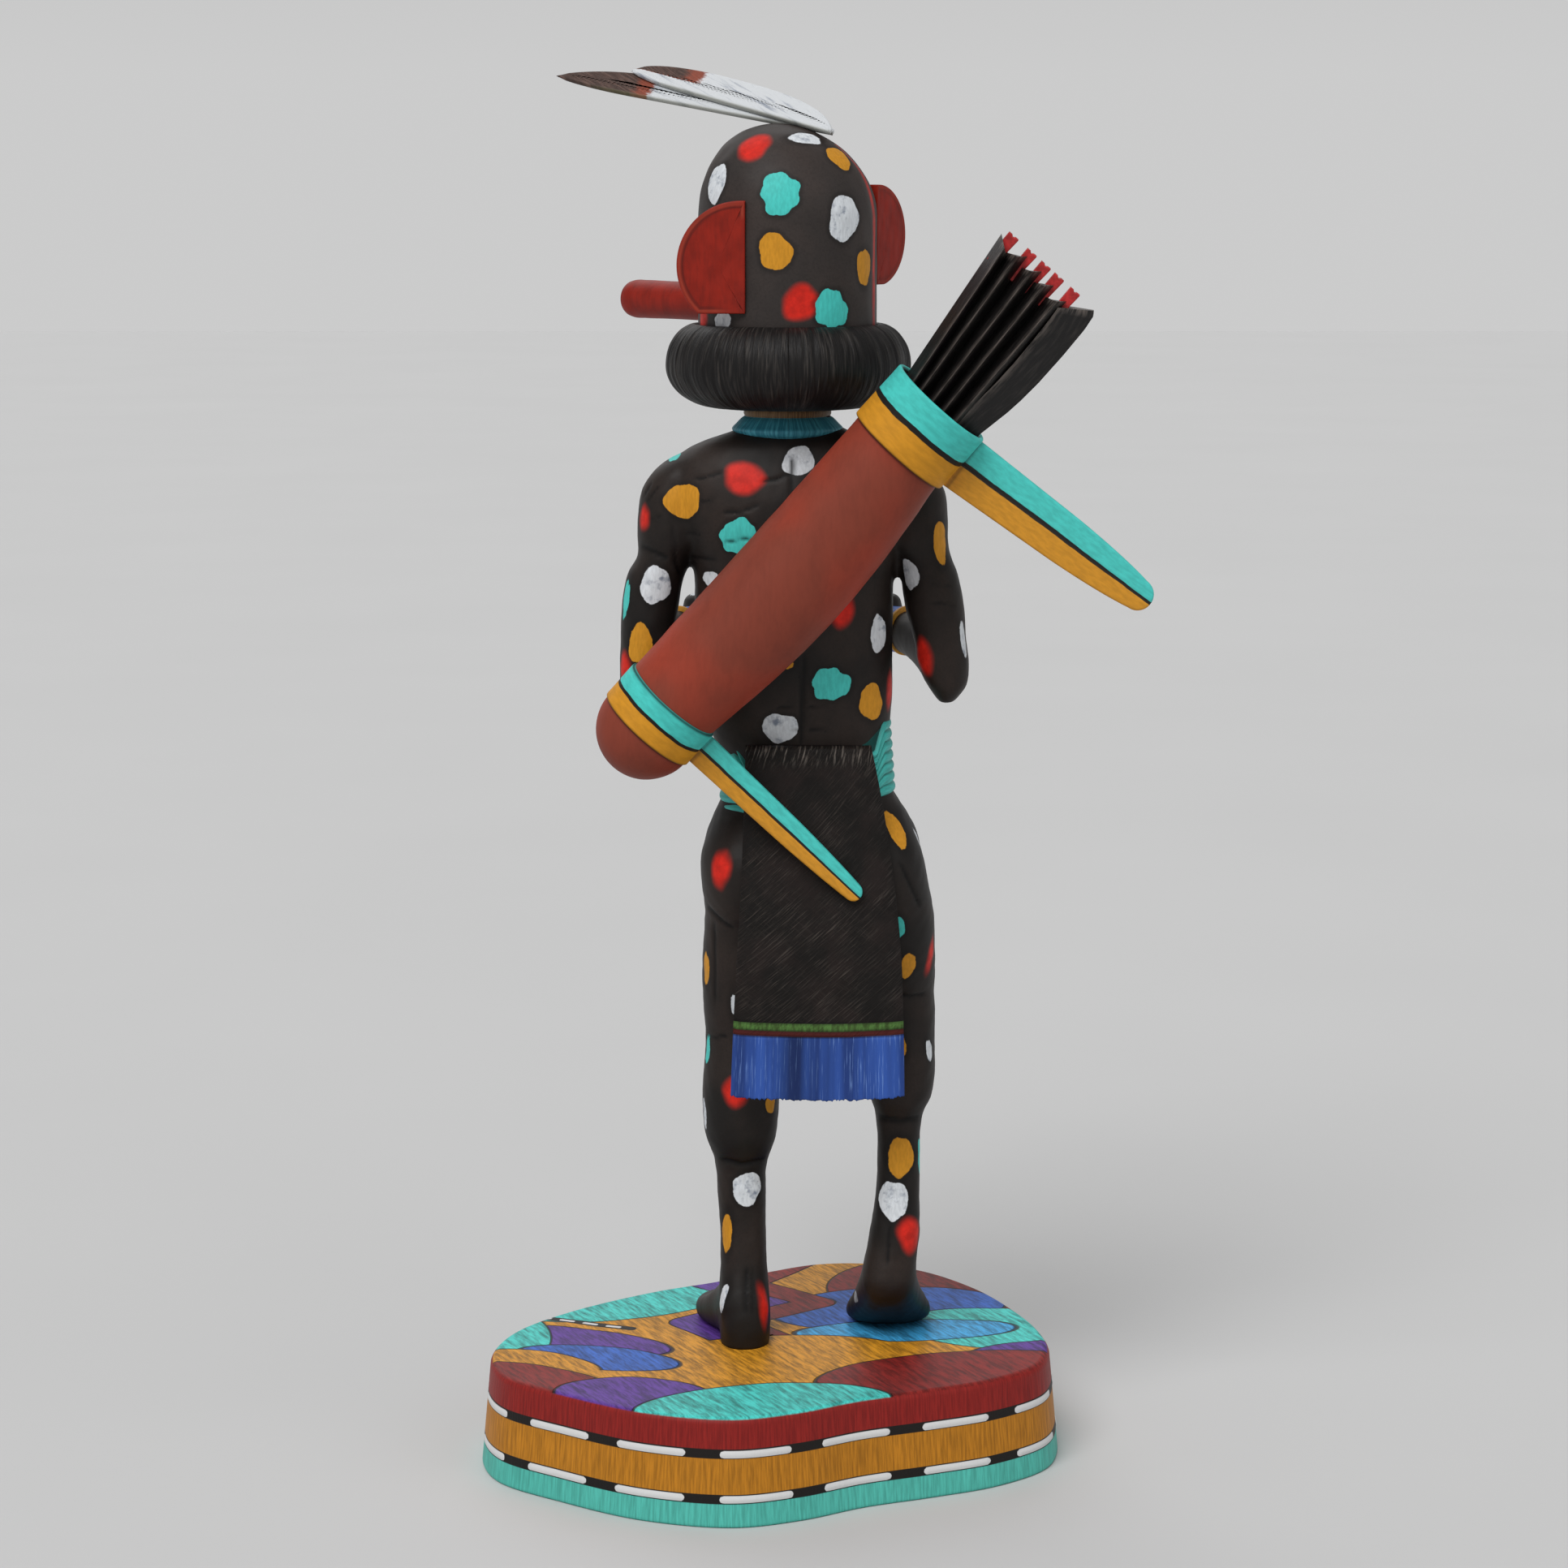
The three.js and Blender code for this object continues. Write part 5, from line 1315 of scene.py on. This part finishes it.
def make_cuff(name, path, material):
    _, bend, wrist = (np.asarray(p, float) for p in path)
    along = unit_vector(wrist - bend)
    rows = []
    for share, width in ((-1, 0.9), (-0.97, 0.98), (-0.9, 1.0), (-0.83, 0.99), (-0.79, 0.94), (-0.7, 0.93),
                         (-0.4, 0.92), (-0.12, 0.9), (-0.03, 0.87), (0, 0.78)):
        at = wrist + along * share * CUFF_LENGTH
        rows.append((*at, CUFF_RADIUS * width, CUFF_RADIUS * width))
    rings = raised(limb(rows, 2.0, 120, 0.3))
    share = np.linspace(0, 1, len(rings))[:, None]
    places = np.stack(np.broadcast_arrays(np.linspace(0, 55, 120), share), -1)
    grid_piece(name, "figure", rings, material, places=places)


# Flat pieces: ears, feathers and ties

def plate(outline, middles, thickness, rounding, inner_rows=8):
    """Rings of a flat piece with rounded edges, from the middle of its face to the middle of its back, with
    z from 0 to the thickness; and how far each point is from the edge."""
    outward = outward_normals(outline)
    angles = np.linspace(math.pi / 2, -math.pi / 2, 11)
    shares = np.linspace(0.02, 1, inner_rows, endpoint=False)
    edge = outline - outward * rounding
    reach = np.maximum(((edge - middles) * outward).sum(1), 0)
    rings, insets = [], []

    def inner(share, z):
        rings.append(np.column_stack([middles + (edge - middles) * share, np.full(len(edge), z)]))
        insets.append(rounding + (1 - share) * reach)

    for share in shares:
        inner(share, thickness)
    for angle in angles:
        inset = rounding * (1 - math.cos(angle))
        flat_half = (thickness / 2 - rounding) * np.sign(round(math.sin(angle), 6))
        z = thickness / 2 + flat_half + rounding * math.sin(angle)
        rings.append(np.column_stack([outline - outward * inset, np.full(len(outline), z)]))
        insets.append(np.full(len(outline), inset))
    for share in shares[::-1]:
        inner(share, 0.0)
    return np.stack(rings), np.stack(insets)


def set_in(local, x_axis, y_axis, z_axis, origin):
    """Points from a piece's own axes to the doll's."""
    return raised(origin + local[..., :1] * x_axis + local[..., 1:2] * y_axis + local[..., 2:3] * z_axis)


def around(angle):
    """The level direction at an angle from +Y towards +X."""
    return np.array([math.sin(angle), math.cos(angle), 0.0])


EAR_THICKNESS = 4.2
EAR_SEAT = 1.6
EAR_ROUNDING = 0.5

# Each ear: degrees from the face to where it meets the head and to where it points, height of its middle,
# radius, how far it goes below its middle, and how strongly the painted shade and highlight along its curved
# edge show
LEFT_EAR = (-107, -44, 377, 21.4, 16, 1.0)
RIGHT_EAR = (120, 75, 386.4, 17.1, 16.758, 0.4)


def make_ear(name, form, material):
    edge_turn, plate_turn, height, radius, drop, rimmed = form
    edge_angle, plate_angle = (FACE_ANGLE + math.radians(turn) for turn in (edge_turn, plate_turn))
    low = math.asin(drop / radius)
    arc = np.linspace(-low, math.pi / 2, 80)
    curved = np.stack([radius * np.cos(arc), radius * np.sin(arc)], -1)
    outline = evenly(np.concatenate([[(-EAR_SEAT, radius), (-EAR_SEAT, -drop)], curved]), 170)
    rings, inset = plate(outline, np.array([0.36 * radius, 0.0]), EAR_THICKNESS, EAR_ROUNDING, 26)
    rings[..., 2] -= EAR_THICKNESS / 2
    rings[..., 2] += 0.05 * ripple(rings.reshape(-1, 3), 6, 31).reshape(inset.shape) * (inset > 0.8)
    off_edge = np.clip((np.hypot(rings[..., 0], rings[..., 1]) - 0.7 * radius) / 2, 0, 1)
    # Along the curved edge: a painted shade line inside and a painted highlight line at the edge.
    marks = {
        "painted_shade": np.exp(-((inset - 1.9) / 0.45)**2) * rimmed * off_edge * 0.7,
        "wear_and_highlight": np.exp(-((inset - 0.9) / 0.5)**2) * rimmed * off_edge * 0.6,
    }
    out, up = around(plate_angle), np.array([0, 0, 1.0])
    edge = around(edge_angle) * HEAD_RADIUS + (NECK_AXIS_X, 0, height)
    grid_piece(name, name, set_in(rings, out, up, np.cross(out, up), edge), material, marks=marks)


SNOUT_RADIUS = 6.7
SNOUT_LENGTH = 52.2
SNOUT_HEIGHT = 363.0


def make_snout(material):
    tip = HEAD_RADIUS + SNOUT_LENGTH
    profile = [
        (SNOUT_RADIUS, HEAD_RADIUS - 3), (SNOUT_RADIUS, HEAD_RADIUS + 6), (SNOUT_RADIUS * 0.985, tip - 20),
        (SNOUT_RADIUS, tip - 8), (SNOUT_RADIUS * 0.975, tip - 2.4), (SNOUT_RADIUS * 0.9, tip - 0.8),
        (SNOUT_RADIUS * 0.72, tip - 0.1), (SNOUT_RADIUS * 0.5, tip - 0.2), (0.2, tip - 0.4)]
    rows = along_path(profile, 0.5)
    columns = 120
    angle = np.linspace(0, 2 * math.pi, columns, endpoint=False)
    ring = np.stack([np.cos(angle), np.sin(angle)], -1)
    lengths = np.broadcast_to(rows[:, 1:, None], (len(rows), columns, 1))
    local = np.concatenate([rows[:, :1, None] * ring, lengths], -1)
    forward, up = around(FACE_ANGLE), np.array([0, 0, 1.0])
    rings = set_in(local, np.cross(forward, up), up, forward, np.array([NECK_AXIS_X, 0, SNOUT_HEIGHT]))
    # The end's middle is painted dark: painted shade in place of a hollow opening.
    at_end = np.clip((rows[:, 1:] - tip + 1.2) / 0.8, 0, 1)
    mouth = at_end * np.clip((0.66 * SNOUT_RADIUS - rows[:, :1]) / 0.6, 0, 1)
    grid_piece("snout", "snout", rings, material, marks={"painted_shade": mouth, "wear_and_highlight": 0.0})


# Each feather: length, width, where it is widest and how full its shoulder is as shares, how much later its
# colours start, and how wide the white along its straight edge is
FEATHER_THICKNESS = 1.8
LONG_FEATHER = (103.0, 11.8, 0.62, 0.62, 10.0, 0.0)
SHORT_FEATHER = (79.0, 12.6, 0.44, 0.95, 0.0, 4.6)
SHORT_FEATHER_TURN = math.radians(7)
FEATHER_RISE = math.radians(10.3)
FEATHER_HEADING = math.radians(109)
FEATHER_ROLL = math.radians(38)
FEATHER_REACH = 20.3


def feather_outline(length, width, belly, shoulder):
    widest = length * belly
    share = np.linspace(0, 1, 60, endpoint=False)
    return evenly(np.concatenate([
        [(0, 0)], bezier([(length * 0.72, 0), (length * 0.9, 0), (length, width * 0.22)], share),
        bezier([(length, width * 0.22), (length * 0.92, width * shoulder), (widest + length * 0.18, width),
                (widest, width)], share),
        bezier([
            (widest, width), (widest * 0.55, width), (widest * 0.16, width * 0.8), (0, width * 0.14)], share),
        [(0, width * 0.14)]]), 360)


def midline(outline, length):
    """For each outline point, the middle of the blade at its place along it."""
    x = np.clip(outline[:, 0], length * 0.02, length * 0.965)
    bins = np.linspace(0, length, 120)
    high = np.array([outline[np.abs(outline[:, 0] - b) < length / 60, 1].max() for b in bins])
    low = np.array([outline[np.abs(outline[:, 0] - b) < length / 60, 1].min() for b in bins])
    return np.stack([x, np.interp(x, bins, (high + low) / 2)], -1)


def make_feather(name, form, root, axes, material):
    length, width, belly, shoulder, longer_tip, white_margin = form
    outline = feather_outline(length, width, belly, shoulder)
    along, away, facing = axes
    rings, inset = plate(outline, midline(outline, length), FEATHER_THICKNESS, 0.6, 10)
    from_tip = length - longer_tip - rings[..., 0]
    barb = np.sin((rings[..., 0] * 0.9 - np.abs(rings[..., 1] - width * 0.5) * 1.6) * 4.2)
    relief = 0.07 * barb * np.clip((inset - 0.4) / 0.6, 0, 1)
    rings[..., 2] += np.where(rings[..., 2] > FEATHER_THICKNESS / 2, relief, -relief)
    thinner = np.clip((length - rings[..., 0]) / 4, 0.2, 1)
    rings[..., 2] = FEATHER_THICKNESS / 2 + (rings[..., 2] - FEATHER_THICKNESS / 2) * thinner
    from_tip = from_tip + 40 * np.clip((white_margin - rings[..., 1]) / 0.8, 0, 1)
    # Painted shade along the straight lower edge.
    low_edge = np.exp(-(rings[..., 1] / 0.5)**2)
    marks = {"from_tip": from_tip, "painted_shade": 0.55 * low_edge}
    placed = set_in(rings, along, away, facing, root)
    grid_piece(name, name, placed, material, places=rings[..., :2], marks=marks)


def make_feathers(material):
    along = around(FEATHER_HEADING) * math.cos(FEATHER_RISE) + (0, 0, math.sin(FEATHER_RISE))
    level = unit_vector(np.cross((0, 0, 1), along))
    away = np.cross(along, level) * math.sin(FEATHER_ROLL) - level * math.cos(FEATHER_ROLL)
    facing = np.cross(along, away)
    root = np.array([NECK_AXIS_X + CROWN_LEAN, 0, DRAWN_HEIGHT + 0.7]) - along * FEATHER_REACH
    short_root = root - away * 2.4 - facing * (FEATHER_THICKNESS + 0.3)
    c, s = math.cos(SHORT_FEATHER_TURN), math.sin(SHORT_FEATHER_TURN)
    make_feather("feather_long", LONG_FEATHER, root, (along, away, facing), material)
    turned = (along * c + away * s, away * c - along * s, facing)
    make_feather("feather_short", SHORT_FEATHER, short_root, turned, material)


# Quiver, ties and arrows

BACK_DEPTH = 25.2
LET_IN = 0.8
quiver_up = np.array([
    -math.cos(QUIVER_SLOPE) * math.cos(QUIVER_LEAN), math.sin(QUIVER_LEAN),
    math.sin(QUIVER_SLOPE) * math.cos(QUIVER_LEAN)])
quiver_middle = np.array([-8, BACK_DEPTH + QUIVER_RADIUS - LET_IN, 278])
quiver_mouth = quiver_middle + quiver_up * 0.495 * QUIVER_LENGTH
quiver_across = unit_vector(np.cross(quiver_up, (0, 1, 0)))
quiver_out = np.cross(quiver_across, quiver_up)


def on_quiver(across, along, out):
    """A place by its distances across, along and out from the middle of the mouth."""
    across, along, out = (np.asarray(v, float)[..., None] for v in (across, along, out))
    return quiver_mouth + quiver_across * across + quiver_up * along + quiver_out * out


def quiver_profile():
    """Radius and height above the foot, from the round end to the bottom of the socket."""
    angle = np.linspace(math.radians(1), math.pi / 2, 40, endpoint=False)
    rows = [(QUIVER_RADIUS * math.sin(a), -QUIVER_RADIUS * math.cos(a)) for a in angle]
    rows += band_rows(QUIVER_RADIUS, LOWER_BAND_RADIUS, 0.0)
    rows += [(LOWER_BAND_RADIUS, z) for z in np.linspace(1, LOWER_BAND - 1, 16)]
    rows += band_rows(QUIVER_RADIUS, LOWER_BAND_RADIUS, LOWER_BAND)[::-1]
    body_top = QUIVER_LENGTH - UPPER_BAND
    rows += [(QUIVER_RADIUS, z) for z in np.linspace(LOWER_BAND + 1, body_top - 1, 70)]
    rows += band_rows(QUIVER_RADIUS, UPPER_BAND_RADIUS, body_top)
    rows += [(UPPER_BAND_RADIUS, z) for z in np.linspace(body_top + 1, QUIVER_LENGTH - 0.8, 24)]
    inner = UPPER_BAND_RADIUS - SOCKET_WALL
    rows += [(UPPER_BAND_RADIUS - 0.1, QUIVER_LENGTH - 0.3), (UPPER_BAND_RADIUS - 0.4, QUIVER_LENGTH),
             (inner + 0.4, QUIVER_LENGTH), (inner + 0.1, QUIVER_LENGTH - 0.3)]
    rows += [(inner, z) for z in np.linspace(QUIVER_LENGTH - 1, QUIVER_LENGTH - SOCKET_DEPTH, 14)]
    return np.array(rows)


def band_rows(inner, outer, height):
    """The rounded step up from the wood to a band's lower edge; turned over for its upper edge."""
    sign = 1 if height in (0.0, QUIVER_LENGTH - UPPER_BAND) else -1
    steps = [(inner, -0.3), (inner + 0.05, 0.0), (outer - 0.25, 0.05), (outer - 0.06, 0.25), (outer, 0.6)]
    return [(radius, height + sign * z) for radius, z in steps]


def make_quiver(material):
    rows = quiver_profile()
    radius, height = rows[:, :1], rows[:, 1:]
    body = QUIVER_LENGTH - UPPER_BAND - LOWER_BAND
    belly = QUIVER_BELLY * np.sin(math.pi * np.clip((height - LOWER_BAND) / body, 0, 1))
    angle = np.linspace(0, 2 * math.pi, 240, endpoint=False)
    across = 1.15 * belly + (radius + belly) * np.cos(angle)
    out = (radius + 0.4 * belly) * np.sin(angle)
    rings = raised(on_quiver(across, np.broadcast_to(height - QUIVER_LENGTH, across.shape), out))
    uneven = 0.06 * ripple(rings.reshape(-1, 3), 12, 41).reshape(across.shape)
    outward = quiver_across * np.cos(angle)[:, None] + quiver_out * np.sin(angle)[:, None]
    rings = rings + uneven[..., None] * outward
    # Painted shade in the grooves at the bands' edges.
    carved = np.zeros_like(height)
    for edge in (0.0, LOWER_BAND, QUIVER_LENGTH - UPPER_BAND):
        carved = np.maximum(carved, np.exp(-((height - edge) / 0.5)**2))
    # The socket's inside is painted black as painted shade round the arrows.
    inside = (np.arange(len(rows)) > len(rows) - 15)[:, None] * 1.0
    places = np.stack(np.broadcast_arrays(angle * QUIVER_RADIUS, height), -1)
    grid_piece("quiver", "quiver", rings, material, places=places, marks={"carved": carved, "inside": inside})


TIE_THICKNESS = 3.4
TIE_ROUNDING = 0.9
TIE_GROOVE = 0.3

# Each tie: direction, width and length
UPPER_TIE = (np.array([-63, -3, -47]), 19.4, 79)
LOWER_TIE = (np.array([-53.2, -2.5, -51]), 11.4, 75)


def make_tie(name, start, form, material):
    """A flat tapered end with a round tip and a painted groove along its middle."""
    reach, width, length = form
    along = unit_vector(reach)
    facing = unit_vector(np.array([0, 1.0, 0]) - along * along[1])
    across = np.cross(facing, along)
    half = width / 2
    tip = half * 0.56
    turn = np.linspace(-math.pi / 2, math.pi / 2, 40)
    share = np.linspace(0, 1, 30)
    near = bezier([(length * 0.55, -half * 0.86), (length * 0.8, -half * 0.76), (length - tip, -tip)], share)
    end = np.stack([length - tip + tip * np.cos(turn), tip * np.sin(turn)], -1)
    outline = evenly(np.concatenate([[(-4, -half)], near, end, near[::-1] * (1, -1), [(-4, half)]]), 280)
    middles = np.stack([np.clip(outline[:, 0], -3.5, length - tip), np.zeros(len(outline))], -1)
    rings, _ = plate(outline, middles, TIE_THICKNESS, TIE_ROUNDING, 14)
    rings[..., 2] -= TIE_THICKNESS / 2
    places_along = [-4, length * 0.55, length - tip, length]
    reach_half = np.interp(rings[..., 0], places_along, [half, half * 0.86, tip, tip])
    rings[..., 2] -= TIE_GROOVE * np.exp(-((rings[..., 1] / 0.5)**2)) * np.sign(rings[..., 2])
    # Painted shade in the crease where the tie meets the band.
    crease = np.exp(-((rings[..., 0] - 0.5) / 0.7)**2)
    marks = {"across": rings[..., 1] / reach_half, "carved": crease}
    placed = set_in(rings, along, across, facing, start)
    grid_piece(name, name, placed, material, places=rings[..., :2], marks=marks)


def make_ties(material):
    upper = on_quiver(UPPER_BAND_RADIUS, -UPPER_BAND / 2, -2)
    lower = on_quiver(LOWER_BAND_RADIUS, LOWER_BAND / 2 - QUIVER_LENGTH, -1)
    make_tie("quiver_tie_upper", upper, UPPER_TIE, material)
    make_tie("quiver_tie_lower", lower, LOWER_TIE, material)


# Each vane: across at the mouth, across at the tip, half width, tip length as a share, side that drops
VANES = [
    (-12, -19.2, 2.9, 1.03, 1), (-8.2, -14.2, 3.2, 1.045, -1), (-3, -7.4, 3.2, 1.035, -1),
    (1.8, -1.4, 3.2, 1.02, -1), (7, 5, 3.4, 1, -1),
]
VANE_DEPTH = 8.2
VANE_TIP_DEPTH = 9.6
VANE_TIP_DROP = 4.4

# The wide outer vane: distance above the mouth, inner and outer edge, half depth, rise of the outer edge
OUTER_VANE = [
    (-13.7, 8, 15.2, 4, 0), (0, 8, 16.3, 5, 0), (6, 8.1, 17.3, 5, 0), (12, 8.3, 18.3, 5, 0),
    (18, 8.6, 18.9, 5, 0), (26, 8.6, 19.3, 5, 0), (36, 8.2, 19.2, 5.2, 2), (44, 7.6, 18.7, 5.4, 5),
    (47.6, 7.2, 17.9, 5.5, 6.6), (48.8, 7, 16.8, 5, 6.8),
]
NOCK_PLACES = (-19, -11, -4.8, 1, 8)
NOCK_LENGTH = 8.4
NOCK_WIDTH = 3.6
NOCK_FOOT = 3
NOCK_NOTCH = 0.93
NOCK_SINK = 4.6
NOCK_COLUMNS = 70
PRISM_STEPS = 8
PRISM_SPACING = 0.8


def prism(corner_rows):
    """Rings through rows of corners, with points added along the edges and the rows."""
    rows = np.asarray(corner_rows, float)
    levels = np.concatenate([[0], np.cumsum(np.linalg.norm(np.diff(rows.mean(1), axis=0), axis=1))])
    at = np.linspace(0, levels[-1], int(levels[-1] / PRISM_SPACING))
    flat = rows.reshape(len(rows), -1)
    filled = np.stack([np.interp(at, levels, values) for values in flat.T], -1)
    rows = filled.reshape(len(at), -1, 3)
    share = np.linspace(0, 1, PRISM_STEPS, endpoint=False)[:, None]
    return np.concatenate([
        rows[:, k, None] * (1 - share) + rows[:, (k + 1) % rows.shape[1], None] * share
        for k in range(rows.shape[1])], 1)


def vane_piece(name, corner_rows, front, material):
    """One folded feather, with paler wear along the ridge of its front corner."""
    rings = raised(prism(corner_rows))
    levels, columns = np.arange(len(rings))[:, None], np.arange(rings.shape[1])
    off_front = np.abs(columns - front * PRISM_STEPS)
    from_front = np.minimum(off_front, rings.shape[1] - off_front)
    tip = np.clip((levels - len(rings) + 4) / 3, 0, 1)
    ridge = np.maximum(np.exp(-(from_front / 0.9)**2)[None, :], 0.8 * tip)
    places = PRISM_SPACING * np.stack(np.broadcast_arrays(columns, levels), -1)
    grid_piece(name, "arrow_bundle", rings, material, places=places, marks={"ridge": ridge}, sharp=35)


def make_vanes(material):
    foot = -(SOCKET_DEPTH - 0.3)
    for number, (mouth, tip, half_width, share, dropped) in enumerate(VANES):
        rows = []
        for along, across, widen, depth, drop in (
                (foot, mouth, 0.8, VANE_DEPTH, 0), (0, mouth, 1, VANE_DEPTH, 0),
                (BUNDLE_LENGTH * share, tip, 1.15, VANE_TIP_DEPTH, VANE_TIP_DROP)):
            wide = half_width * widen
            rows.append([
                on_quiver(across - wide, along - (drop if dropped < 0 else 0), 0),
                on_quiver(across, along - drop / 2, depth),
                on_quiver(across + wide, along - (drop if dropped > 0 else 0), 0),
                on_quiver(across, along - drop, -depth)])
        vane_piece("vane_%d" % number, rows, 1, material)
    rows = [
        [on_quiver(inner, along, depth), on_quiver(outer, along + rise, 1.2),
         on_quiver(outer, along + rise, -1.6), on_quiver(inner, along, -depth)]
        for along, inner, outer, depth, rise in OUTER_VANE]
    vane_piece("vane_outer", rows, 0, material)


def make_nocks(material):
    half = NOCK_WIDTH / 2
    flat = np.array([
        (-half * 0.95, -NOCK_FOOT), (half * 0.95, -NOCK_FOOT), (half * 1.15, NOCK_LENGTH),
        (half * 0.4, NOCK_LENGTH), (0, NOCK_LENGTH * NOCK_NOTCH), (-half * 0.4, NOCK_LENGTH),
        (-half * 1.15, NOCK_LENGTH)])
    outline = evenly(flat, NOCK_COLUMNS)
    middles = np.column_stack([np.zeros(NOCK_COLUMNS), np.clip(outline[:, 1], 0, 5)])
    rings, _ = plate(outline, middles, NOCK_WIDTH, 0.35, 5)
    rings[..., 2] -= NOCK_WIDTH / 2
    for number, across in enumerate(NOCK_PLACES):
        at = on_quiver(across, BUNDLE_LENGTH - NOCK_SINK, 0.5)
        placed = set_in(rings, quiver_across, quiver_up, quiver_out, at)
        grid_piece("nock_%d" % number, "arrow_bundle", placed, material, sharp=40)


# Room, light and camera

FLOOR_REACH = 9.0

# Each sun: name, direction that it comes from, softness in degrees, power
SUNS = [
    ("key", (0.45, 1.0, 1.25), 34, 2.0), ("fill", (-1.0, 0.7, 0.8), 50, 0.35),
    ("front", (0.3, -1.0, 0.9), 50, 0.7),
]


def add_sun(name, come_from, softness, power):
    light = bpy.data.lights.new(name, "SUN")
    light.angle = math.radians(softness)
    light.energy = power
    lamp = bpy.data.objects.new(name, light)
    lamp.rotation_euler = (-Vector(come_from)).to_track_quat("-Z", "Y").to_euler()
    bpy.context.scene.collection.objects.link(lamp)


def shade_sky(tree):
    """The sky is pale at the horizon and dimmer above."""
    place = tree.nodes.new("ShaderNodeTexCoord")
    height = tree.nodes.new("ShaderNodeSeparateXYZ")
    dim = tree.nodes.new("ShaderNodeMapRange")
    for name, value in (("From Min", 0.02), ("From Max", 0.35), ("To Min", 0.60), ("To Max", 0.30)):
        dim.inputs[name].default_value = value
    tree.links.new(place.outputs["Generated"], height.inputs[0])
    tree.links.new(height.outputs["Z"], dim.inputs["Value"])
    tree.links.new(dim.outputs[0], tree.nodes["Background"].inputs["Strength"])
    tree.nodes["Background"].inputs["Color"].default_value = (1, 1, 1, 1)


def make_room():
    """A plain pale floor under a pale sky, with three wide soft lights."""
    paint = Paint("backdrop", roughness=0.9)
    patches = paint.noise(paint.place, 300, detail=2)
    material = paint.finish(paint.mix(patches, (0.56, 0.56, 0.56), (0.59, 0.59, 0.59)))
    floor = bpy.data.meshes.new("floor")
    corners = ((-1, -1), (1, -1), (1, 1), (-1, 1))
    floor.from_pydata([(x * FLOOR_REACH, y * FLOOR_REACH, 0) for x, y in corners], [], [(0, 1, 2, 3)])
    floor.materials.append(material)
    made = bpy.data.objects.new("floor", floor)
    bpy.context.scene.collection.objects.link(made)
    world = bpy.data.worlds.new("sky")
    world.use_nodes = True
    shade_sky(world.node_tree)
    bpy.context.scene.world = world
    bpy.context.scene.view_settings.view_transform = "Standard"
    for sun in SUNS:
        add_sun(*sun)


def make_camera():
    camera = bpy.data.cameras.new("camera")
    camera.sensor_width = SENSOR_MM
    camera.lens = FOCAL_PIXELS / PHOTO_SIDE * SENSOR_MM
    camera.dof.use_dof = False
    made = bpy.data.objects.new("camera", camera)
    made.location = CAMERA * UNIT
    made.rotation_euler = (math.pi / 2 - CAMERA_PITCH, 0, math.pi)
    bpy.context.scene.collection.objects.link(made)
    bpy.context.scene.camera = made


body = body_paint("body_paint", BODY, BODY_WARM)
mask_red = mask_red_paint()
apron = apron_paint()
cuff = cuff_paint()
make_base(base_paint())
make_body(body)
make_head(body_paint("head_paint", HEAD_DARK, HEAD_WARM))
make_ruff(hair_paint())
make_collar(collar_paint())
make_belt(belt_paint())
make_apron("apron_back", BACK_APRON, 1, 51, apron)
make_apron("apron_front", FRONT_APRON, -1, 61, apron)
make_cuff("cuff_left", LEFT_FOREARM, cuff)
make_cuff("cuff_right", RIGHT_FOREARM, cuff)
make_ear("ear_left", LEFT_EAR, mask_red)
make_ear("ear_right", RIGHT_EAR, mask_red)
make_snout(mask_red)
make_feathers(feather_paint())
make_quiver(quiver_paint())
make_ties(tie_paint())
make_vanes(fletching_paint())
make_nocks(nock_paint())
make_room()
make_camera()
